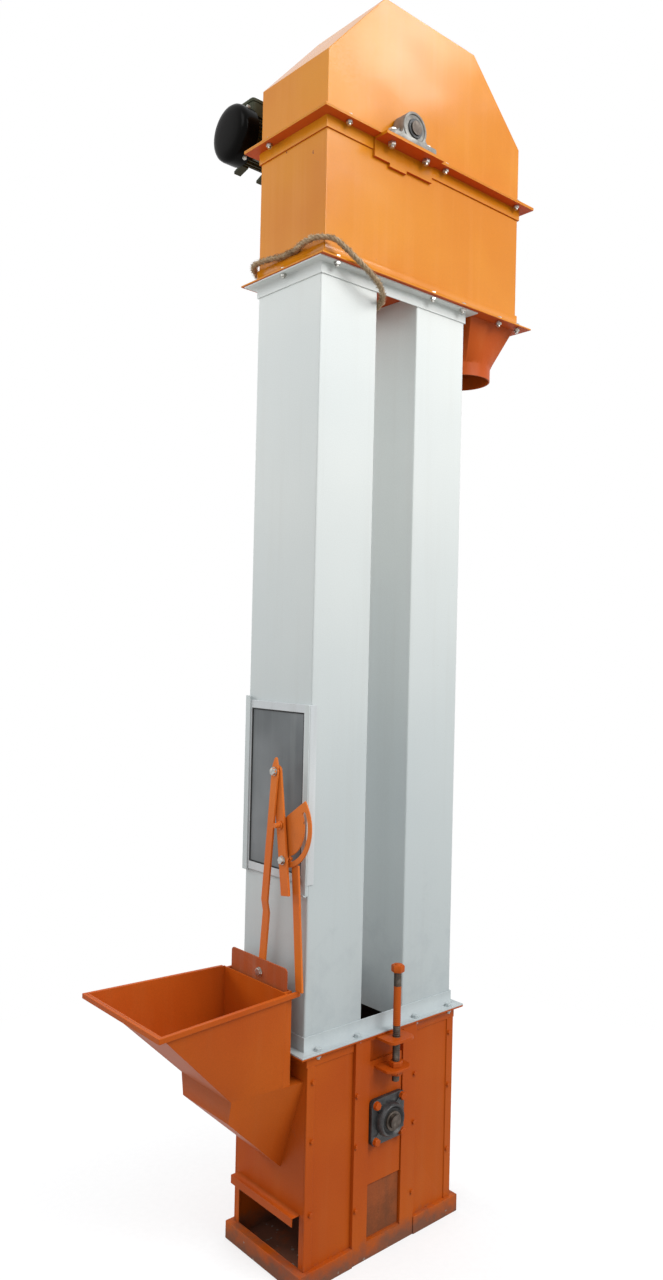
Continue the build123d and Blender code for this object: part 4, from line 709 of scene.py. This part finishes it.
# bolts on the flanges, heads up, the nuts under the lower angle
boltPlaces = {
    "headTop": {"level": 2861, "xs": (-204, 148, 455), "out": 150, "ends": ((-278, 76), (502, -70), (502, 70))},
    "headFoot": {"level": 2504, "xs": (-233, 110, 232, 387, 470), "out": 149,
    "ends": ((-278, 4), (506, -70), (506, 70))},
    "legFoot": {"level": 572, "xs": (-230, -97, 112, 244), "out": 141, "ends": ((-279, 0), (279, -70), (279, 70))},
}
for title, at in boltPlaces.items():
    # the bolts of the foot flange were painted over with the legs
    coats = (legEnamel, "leg_paint") if title == "legFoot" else ()
    flat = [(x, side * at["out"]) for x in at["xs"] for side in (-1, 1)] + list(at["ends"])
    placeBolts("bolts_" + title, "frame", "flange", [((x, y, at["level"]), (0, 0, 1)) for x, y in flat], *coats)
# small screws that hold the corner strips and the guide bars of the boot
screwSpots = [(x, 142, z) for x in (-246, 246) for z in (180, 357, 500)]
screwSpots += [(x, size["bayFace"], z) for x, z in ((-104, 428), (-102, 139), (-104, 300), (104, 428), (102, 116),
    (104, 300))]
bootScrews = [((x, side * out, z), (0, side, 0)) for x, out, z in screwSpots for side in (-1, 1)]
placeBolts("screws_boot", "frame", "small", bootScrews, baseEnamel, "base_paint")
bracketSpots = [((x, side * size["frontSeat"], size["seat"] + 17), (0, 0, 1)) for x in (-63.5, 63.5)
    for side in (-1, 1)]
placeBolts("bolts_headBearings", "frame", "bearing", bracketSpots)
tailSpots = [((x, side * (size["slideFace"] + 15), size["tailShaft"] + z), (0, side, 0)) for x in (-46, 46)
    for z in (-46, 46) for side in (-1, 1)]
placeBolts("bolts_tailBearings", "takeup", "tail", tailSpots, baseEnamel, "base_paint")
# the gate linkage is pinned with plated bolts, heads towards the hopper
placeBolts("bolt_lever", "lever", "link", [((-316.5, -52.8, 1248.7), (-1, 0, 0)),
    ((-309.5, -82.7, 1035.8), (-1, 0, 0))])
placeBolts("bolt_gate", "gate", "gate", [((-312, -5, 745), (-1, 0, 0))])
print("bolts placed")


def bearingInsert(work, centre, outward, ring, proud):
    # race, black seal and locking collar round the shaft; outward is +1 or -1 along Y
    bore = size["insertBore"]
    race = ((bore, -4), (bore, proud), (bore + 6.2, proud), (bore + 7, proud - 0.8), (bore + 7, -4))
    rubber = ((bore + 7, -0.5), (ring - 4, -1.5), (ring - 4, -6))
    for index, profile in ((1, race), (2, rubber)):
        lathe(work, [(radius, outward * out) for radius, out in profile], centre, "Y", 48, index)


pillow = {"half": 83.5, "depth": 18, "bolts": 63.5, "ring": 42}


def makePillowBlock(side, look):
    # feet that slope up to an arched body, a raised ring on each face and the insert in it
    work = bmesh.new()
    base, seatY, half, depth, ring = size["seat"], side * size["frontSeat"], look["half"], look["depth"], look["ring"]
    left = [(-43.5, 25), (-49, 19), (-58, 16), (-80, 14), (-half, 11)]
    profile = [(-half, 0), (half, 0)] + [(-x, z) for x, z in left[::-1]]
    profile += arc((0, size["headShaft"] - base), ring, -14, 194, 26) + left
    prism(work, [(x, base + z) for x, z in profile], seatY - depth, seatY + depth)
    prism(work, roundedBox((-half, seatY - 24), (half, seatY + 24), 12), base, base + 15, "Z")
    for end in (-1, 1):
        prism(work, arc((look["bolts"] * end, seatY), 15, 0, 345, 23), base + 10, base + 17, "Z")
        rib = [(end * 72, base + 14), (end * 43, base + 36), (end * 38, base + 14)]
        prism(work, rib[::end], seatY - 7, seatY + 7)
    mesh = roundEdges(turnedOut(work), 2.2, 2.2, 28)
    rings = bmesh.new()
    for face in (-1, 1):
        spot = (0, seatY + face * depth, size["headShaft"])
        profile = ((ring, -1), (ring, 1.6), (ring - 1, 2.4), (36, 2.4), (35, 1.6), (34, -2), (33, -2.6))
        lathe(rings, [(radius, face * out) for radius, out in profile], spot)
        bearingInsert(rings, spot, face, 37, 4)
    node = "head_bearing_front" if side < 0 else "head_bearing_back"
    whole = closeMesh("pillowBlock", turnedOut(rings), sharp=38, rounded=mesh)
    finishPiece(node + "_casting", whole, "frame", [node], [castIron, darkIron, sealRubber])


flanged = {"half": 58.5, "bolts": 46, "plate": 13}


def makeFlangeBearing(side, look):
    # a square plate, four ribs from its corners and a raised round housing with the insert
    work = bmesh.new()
    face, z, half, bolts = size["slideFace"], size["tailShaft"], look["half"], look["bolts"]

    def slab(outline, low, high):
        prism(work, outline, *sorted((side * (face + low), side * (face + high))))
    slab(roundedBox((-half, z - half), (half, z + half), 14), 0, look["plate"])
    for x, up in ((1, 1), (-1, 1), (-1, -1), (1, -1)):
        along, across = Vector((x, up)).normalized(), Vector((-up, x)).normalized()
        strip = [along * 30 + across * 9, along * 66 + across * 5, along * 66 - across * 5, along * 30 - across * 9]
        slab([(spot.x, z + spot.y) for spot in strip], 10, 17.5)
        slab(arc((bolts * x, z + bolts * up), 12.5, 0, 345, 23), 10, 15)
    mesh = roundEdges(turnedOut(work), 2, 2, 28)
    rings = bmesh.new()
    housing = ((45, 8), (44, 20), (41, 31), (39, 33), (36.5, 33), (35, 31.5), (33, 28), (30, 26))
    lathe(rings, [(radius, side * out) for radius, out in housing], (0, side * face, z))
    bearingInsert(rings, (0, side * (face + 29), z), side, 35, 6)
    node = "tail_bearing_front" if side < 0 else "tail_bearing_back"
    whole = closeMesh("flangeBearing", turnedOut(rings), sharp=38, rounded=mesh)
    finishPiece(node + "_casting", whole, "takeup", [node], [darkIron, turnedSteel, sealRubber])


for side in (-1, 1):
    makePillowBlock(side, pillow)
    makeFlangeBearing(side, flanged)
print("bearings cast")

hatch = {"face": -263.5, "low": 996, "high": 1394, "half": 106, "shadowStrip": 3.5, "bars": 6, "stripOut": 3.2}


def makeHatchTrim(at):
    low, high, outer, inner = at["low"], at["high"], at["half"], at["half"] - at["shadowStrip"]
    # painted shadow: a black strip of the bearing seals' rubber round the panel's edge stands for the shadow line of
    # its recess
    shadowStrip = bmesh.new()
    for start, end in (((-outer, low), (-inner, high)), ((inner, low), (outer, high)),
            ((-inner, low), (inner, low + at["shadowStrip"])), ((-inner, high - at["shadowStrip"]), (inner, high))):
        prism(shadowStrip, roundedBox(start, end, 1), at["face"] - 4.6, at["face"] - 2.9, "X")
    finishPiece("hatch_painted_shadow", closeMesh("hatch_painted_shadow", turnedOut(shadowStrip), False), "frame", (),
        [sealRubber])
    # two covering strips over the upright bars; the near one runs on below and its end is turned out
    strips = bmesh.new()
    face = at["face"] - at["bars"]
    prism(strips, roundedBox((110, low - 24), (129, high + 31), 1.5), face - at["stripOut"], face, "X")
    prism(strips, roundedBox((-129, low - 46), (-112, high + 20), 1.5), face - at["stripOut"], face, "X")
    prism(strips, roundedBox((-129, low - 46), (-112, low - 18), 1), face, at["face"], "X")
    prism(strips, [(face, low - 46), (face - 9, low - 41), (face - 10, low - 44), (face, low - 49)], -129, -112)
    finishPiece("hatch_strips", roundEdges(turnedOut(strips), 0.9, 0.6), "frame", (), [legEnamel])
    knob = bmesh.new()
    lathe(knob, [(4, 0), (4, -3), (8, -3.4), (9, -5), (8, -7.4), (4, -8.4), (0, -8.6)], (face, -98, low - 10), "X",
        28)
    finishPiece("hatch_knob", closeMesh("hatch_knob", turnedOut(knob)), "frame", (), [darkIron])


def makeLinkTip():
    # above its pin the link is drawn out to a blunt point
    foot, eye = Vector((-5, 745)), Vector((-52.8, 1248.7))
    along = (eye - foot).normalized()
    across = Vector((along.y, -along.x))
    work = bmesh.new()
    outline = [eye + across * u + along * v for u, v in ((11.5, 8), (9, 19), (4, 32), (0.5, 35), (-3, 32), (-8, 19),
        (-11.5, 8))]
    prism(work, outline, -315.3, -309.7, "X")
    finishPiece("gate_link_tip", roundEdges(turnedOut(work), 1.2, 0.8), "link", (), [leverEnamel])


makeHatchTrim(hatch)
makeLinkTip()
print("hatch trimmed")


def makeThreadTree():
    # a rod whose skin rises and falls along a helix
    tree, given = startTree("rolledThread", ["Radius", "Depth", "Pitch", "Length"], ["Rows"])
    rod = addNode(tree, "GeometryNodeMeshCylinder", {"Vertices": 24, "Radius": given["Radius"],
        "Depth": given["Length"], "Side Segments": given["Rows"]})
    spot = addNode(tree, "ShaderNodeSeparateXYZ", {0: addNode(tree, "GeometryNodeInputPosition")}).outputs
    angle = addNode(tree, "ShaderNodeMath", {"operation": "ARCTAN2", 0: spot["Y"], 1: spot["X"]})
    around = addNode(tree, "ShaderNodeMath", {"operation": "DIVIDE", 1: 2 * pi, 0: angle})
    along = addNode(tree, "ShaderNodeMath", {"operation": "DIVIDE", 0: spot["Z"], 1: given["Pitch"]})
    helix = addNode(tree, "ShaderNodeMath", {"operation": "SUBTRACT", 0: along, 1: around})
    wave = addNode(tree, "ShaderNodeMath", {"operation": "PINGPONG", 1: 0.5, 0: helix})
    lowered = addNode(tree, "ShaderNodeMath", {"operation": "SUBTRACT", 1: 0.5, 0: wave})
    twice = addNode(tree, "ShaderNodeMath", {"operation": "MULTIPLY", 1: 2.0, 0: lowered})
    deep = addNode(tree, "ShaderNodeMath", {"operation": "MULTIPLY", 0: twice, 1: given["Depth"]})
    flat = addNode(tree, "ShaderNodeCombineXYZ", {"X": spot["X"], "Y": spot["Y"]})
    unit = addNode(tree, "ShaderNodeVectorMath", {"operation": "NORMALIZE", 0: flat})
    push = addNode(tree, "ShaderNodeVectorMath", {"operation": "SCALE", 0: unit, "Scale": deep})
    return endTree(tree, addNode(tree, "GeometryNodeSetPosition", {"Geometry": rod, "Offset": push}), given)


threadTree = makeThreadTree()
# the pitch is drawn at 5 mm so that it shows
# stretches are (low, high, finish, depth of the thread), nuts (low, high, chamfer, turn)
screw = {"radius": 10, "pitch": 5, "rowsPerPitch": 6, "across": 30,
    "stretches": ((450, 592, 0, 1.3), (592, 692, 1, 0.5), (692, 728, 0, 0.4)),
    "nuts": ((728, 746, 2, 10), (487, 501, 1.5, 25), (466, 480, 1.5, 5))}


def makeBayPanel(side):
    # the stretch of wall that shows under the sliding plate
    work = bmesh.new()
    prism(work, roundedBox((-57, 50), (57, 183), 3), *sorted((side * 139.1, side * 141.5)))
    mesh = roundEdges(turnedOut(work), 1.5, 0.8)
    finishPiece("bay_panel_front" if side < 0 else "bay_panel_back", mesh, "frame", (), [bayEnamel])


def makeScrew(side, look):
    place = (0, side * size["screwOut"])
    work = bmesh.new()
    for low, high, finish, depth in look["stretches"]:
        rod = growMesh(threadTree, bpy.data.meshes.new("rod"), {"Radius": mm(look["radius"]), "Depth": mm(depth),
            "Pitch": mm(look["pitch"]), "Length": mm(high - low),
            "Rows": int((high - low) / look["pitch"] * look["rowsPerPitch"]), "Finish": bareThread})
        rod.transform(Matrix.Translation(mm(*place, (low + high) / 2)))
        rod.shade_smooth()
        start = len(work.faces)
        work.from_mesh(rod)
        work.faces.ensure_lookup_table()
        for face in work.faces[start:]:
            face.material_index = finish
    for low, high, chamfer, turn in look["nuts"]:
        levels = ((low, 0.9), (low + chamfer, 1), (high - chamfer, 1), (high, 0.9))
        radius = look["across"] / sqrt(3)
        outlines = [(level, arc(place, radius * share, turn, turn + 300, 5)) for level, share in levels]
        skin(work, [[work.verts.new(mm(*corner, level)) for corner in outline] for level, outline in outlines], 1)
    lathe(work, [(0, 746), (9, 746), (7, 748.5), (0, 749)], (*place, 0), "Z", 24, 1)
    node = "takeup_screw_front" if side < 0 else "takeup_screw_back"
    mesh = closeMesh("takeupScrew", work, False, 40)
    finishPiece(node + "_threaded", mesh, "takeup", [node], [bareThread, baseEnamel])


for side in (-1, 1):
    makeBayPanel(side)
    makeScrew(side, screw)
print("screws threaded")

# drive: motor, fan cover and reducer
motor = {"out": 270, "axis": 2961, "body": 56, "finRadius": 63, "fins": 28, "finThick": 2.4, "finLength": 104,
    "finMiddle": -158, "left": -225, "right": -84, "cover": 77, "box": 62}


def makeFinTree():
    # thin radial fins round an axis along X
    tree, given = startTree("coolingFins", ["Ring Radius", "Height", "Thickness", "Length"], ["Count"])
    ring = addNode(tree, "GeometryNodeMeshCircle", {"Vertices": given["Count"], "Radius": given["Ring Radius"]})
    bladeSize = addNode(tree, "ShaderNodeCombineXYZ", {"X": given["Height"], "Y": given["Thickness"],
        "Z": given["Length"]})
    blade = addNode(tree, "GeometryNodeMeshCube", {"Size": bladeSize})
    spot = addNode(tree, "GeometryNodeInputPosition")
    aimed = addNode(tree, "FunctionNodeAlignRotationToVector", {"axis": "X", "pivot_axis": "Z", "Vector": spot})
    return endTree(tree, addNode(tree, "GeometryNodeInstanceOnPoints",
        {"Points": ring, "Instance": blade, "Rotation": aimed}), given)


def makeMotor(look):
    work = bmesh.new()
    out, axis, body, left, right, cover = (look[key] for key in ("out", "axis", "body", "left", "right", "cover"))
    centre = (0, out, axis)
    fins = growMesh(makeFinTree(), bpy.data.meshes.new("fins"),
        {"Ring Radius": mm((body + look["finRadius"]) / 2 - 1), "Height": mm(look["finRadius"] - body + 2),
        "Thickness": mm(look["finThick"]), "Length": mm(look["finLength"]), "Count": look["fins"],
        "Finish": motorEnamel})
    fins.transform(Matrix.Translation(mm(look["finMiddle"], out, axis)) @ Matrix.Rotation(pi / 2, 4, "Y"))
    work.from_mesh(fins)
    lathe(work, [(0, left + 0.5), (58, left + 0.5), (58, -212), (body, -210), (body, -106), (61, -104), (61, -96),
        (70, -92), (70, right), (0, right)], centre, "X")
    # terminal box with its lid, cover plate, lid screws and cable gland
    top = axis + look["box"]
    for start, end, corner, low, high in (((-223, 227), (-141, 313), 8, -10, 27),
            ((-225, 225), (-139, 315), 9, 28, 36),
            ((-204, 244), (-176, 272), 5, 35, 38)):
        prism(work, roundedBox(start, end, corner), top + low, top + high, "Z")
    for x in (-218, -146):
        for y in (232, 308):
            lathe(work, [(0, top + 38), (3.4, top + 37.6), (4, top + 36), (4, top + 34)], (x, y, 0), "Z", 12)
    lathe(work, [(13, 0), (13, 6), (10, 8), (10, 16), (6, 18), (0, 18)], (-182, 313, top + 10), "Y", 20)
    for x in (-196, -118):
        for side in (-1, 1):
            foot = [(out + side * y, axis - z) for y, z in ((24, 50), (62, 64), (62, 71), (24, 62))]
            prism(work, foot[::side], x - 11, x + 11, "X")
    mesh = closeMesh("motorBody", turnedOut(work), sharp=32)
    mesh.materials.clear()  # the fins' own material number goes back to the first
    finishPiece("drive_motor_body", mesh, "frame", ["drive_motor"], [motorEnamel])
    dome = bmesh.new()
    lathe(dome, [(60, left - 1), (75, left), (cover, left), (cover, -258), (75.5, -266), (71, -272), (63, -276.5),
        (50, -278.6), (28, -279.7), (0, -280)], centre, "X", 72)
    finishPiece("fan_cover_dome", closeMesh("fanCover", turnedOut(dome), sharp=40), "frame",
        ["fan_cover"], [coverEnamel])
    rim = [(sin(radians(angle)), cos(radians(angle))) for angle in (205, 325, 85)]
    placeBolts("bolts_fanCover", "frame", "small", [((-240, out + cover * y, axis + cover * z), (0, y, z))
        for y, z in rim])


def makeReducer():
    # worm gear housing: two barrels joined by a ribbed case, covers with their bolts, plugs
    work = bmesh.new()
    out, shaft, worm = size["reducerOut"], size["headShaft"], size["worm"]
    prism(work, roundedBox((-72, shaft - 72), (72, worm + 44), 20, 6), out - 50, out + 50)
    prism(work, roundedBox((-66, shaft - 72), (66, shaft - 60), 3), out - 56, out + 56)
    mesh = roundEdges(turnedOut(work), 5, 3, 28)
    work = bmesh.new()
    barrel = ((62, 48), (62, 54), (60, 56), (42, 56), (40, 52), (30, 52), (30, 56), (size["insertBore"], 56),
        (size["insertBore"], 40))
    for side in (-1, 1):
        lathe(work, [(radius, side * reach) for radius, reach in barrel], (0, out, shaft))
    lathe(work, [(0, -84), (90, -84), (90, -74), (88, -72), (58, -70), (50, -60), (50, 60), (52, 66), (52, 72),
        (50, 74), (30, 74), (28, 72), (0, 72)], (0, out, worm), "X")
    for x in (-44, -22, 0, 22, 44):
        rib = [(out - 46, shaft - 58), (out + 54, shaft - 58), (out + 54, shaft - 40), (out - 46, shaft - 40)]
        prism(work, rib, x - 2, x + 2, "X")
    lathe(work, [(9, worm + 40), (9, worm + 48), (6.5, worm + 50), (0, worm + 50)], (42, out + 20, 0), "Z", 6, 1)
    whole = closeMesh("reducerHousing", turnedOut(work), sharp=34, rounded=mesh)
    finishPiece("gear_reducer_housing", whole, "frame", ["gear_reducer"], [motorEnamel, zincPlate])
    spots = [((x, out + side * 56, z), (0, side, 0)) for x, z in arc((0, shaft), 52, 15, 315, 5) for side in (-1, 1)]
    spots += [((74, y, z), (1, 0, 0)) for y, z in arc((out, worm), 41, 45, 315, 3)]
    placeBolts("bolts_reducer", "frame", "small", spots)
    placeBolts("bolts_reducerFeet", "frame", "flange", [((x, y, shaft - 80), (0, 0, -1)) for x in (-54, 54)
        for y in (228, 312)])


makeMotor(motor)
makeReducer()
print("drive built")

# the high lamp stands where the hood mirrors it to the camera, the back one reaches in between the legs
# and isn't mirrored, as a glancing image of it would bleach the sides; areas are (name, place, aim, size, power)
lamps = {"sky": 0.64, "unmirrored": "backLamp", "areas": (
    ("frontLamp", (0.9, -4.4, 4.9), (0, 0, 1.9), 3.0, 225), ("sideLamp", (-4.2, -0.6, 6.0), (0, 0, 1.9), 2.6, 70),
    ("highLamp", (2.1, -2.2, 5.1), (0, 0, 3.1), 0.6, 14), ("backLamp", (-1.7, 3.8, 2.7), (0.07, 0, 1.7), 1.8, 115))}
floorLook = {"half": 9, "fadeFrom": 0.55, "fadeTo": 1.9, "nearShare": 0.6}


def makeFloor(look):
    # it keeps its shadow near the object and runs out to plain white round it
    half = look["half"]
    mesh = bpy.data.meshes.new("floor")
    mesh.from_pydata([(-half, -half, 0), (half, -half, 0), (half, half, 0), (-half, half, 0)], [], [(0, 1, 2, 3)])
    floor = bpy.data.objects.new("floor", mesh)
    scene.collection.objects.link(floor)
    material, tree = newMaterial("matPaintedFloor")
    rays = addNode(tree, "ShaderNodeLightPath").outputs
    seen = addNode(tree, "ShaderNodeMath", {"operation": "MAXIMUM", 0: rays["Is Camera Ray"],
        1: rays["Is Glossy Ray"]})
    place = addNode(tree, "ShaderNodeTexCoord").outputs["Object"]
    grit = addNode(tree, "ShaderNodeTexNoise", {"Scale": 60.0, "Detail": 3.0, "Vector": place})
    pale = rampStops(addNode(tree, "ShaderNodeValToRGB", {"Fac": grit}), (0.3, "#FAFAFA"), (0.7, "#FFFFFF"))
    away = addNode(tree, "ShaderNodeVectorMath", {"operation": "LENGTH", 0: place}).outputs["Value"]
    fade = addNode(tree, "ShaderNodeMapRange", {1: look["fadeFrom"], 2: look["fadeTo"], 3: look["nearShare"], 4: 1.0,
        0: away})
    lit = addNode(tree, "ShaderNodeBsdfDiffuse", {"Color": pale})
    white = addNode(tree, "ShaderNodeEmission", {"Color": (1, 1, 1, 1), "Strength": 1.0})
    bright = addNode(tree, "ShaderNodeMixShader", {0: fade, 1: lit, 2: white})
    dull = addNode(tree, "ShaderNodeBsdfDiffuse", {"Color": hexColour("#A8A6A2")})
    both = addNode(tree, "ShaderNodeMixShader", {0: seen, 1: dull, 2: bright})
    addNode(tree, "ShaderNodeOutputMaterial", {"Surface": both})
    mesh.materials.append(material)


def makeLights(look):
    world = bpy.data.worlds.new("studio")
    scene.world = world
    world.use_nodes = True
    sky = world.node_tree
    sky.nodes.clear()
    rays = addNode(sky, "ShaderNodeLightPath").outputs
    first = addNode(sky, "ShaderNodeMath", {"operation": "MAXIMUM", 0: rays["Is Camera Ray"],
        1: rays["Is Glossy Ray"]})
    shown = addNode(sky, "ShaderNodeMath", {"operation": "MAXIMUM", 0: first, 1: rays["Is Transmission Ray"]})
    soft = addNode(sky, "ShaderNodeBackground", {"Color": (0.93, 0.97, 1, 1), "Strength": look["sky"]})
    white = addNode(sky, "ShaderNodeBackground", {"Color": (1, 1, 1, 1), "Strength": 1.0})
    addNode(sky, "ShaderNodeOutputWorld", {"Surface": addNode(sky, "ShaderNodeMixShader",
        {0: shown, 1: soft, 2: white})})
    for title, place, aim, side, power in look["areas"]:
        light = bpy.data.lights.new(title, "AREA")
        light.size = side
        light.energy = power
        lamp = bpy.data.objects.new(title, light)
        scene.collection.objects.link(lamp)
        lamp.location = place
        lamp.visible_glossy = title != look["unmirrored"]
        lamp.rotation_euler = (Vector(aim) - Vector(place)).to_track_quat("-Z", "Y").to_euler()


makeFloor(floorLook)
makeLights(lamps)
print("stage lit")
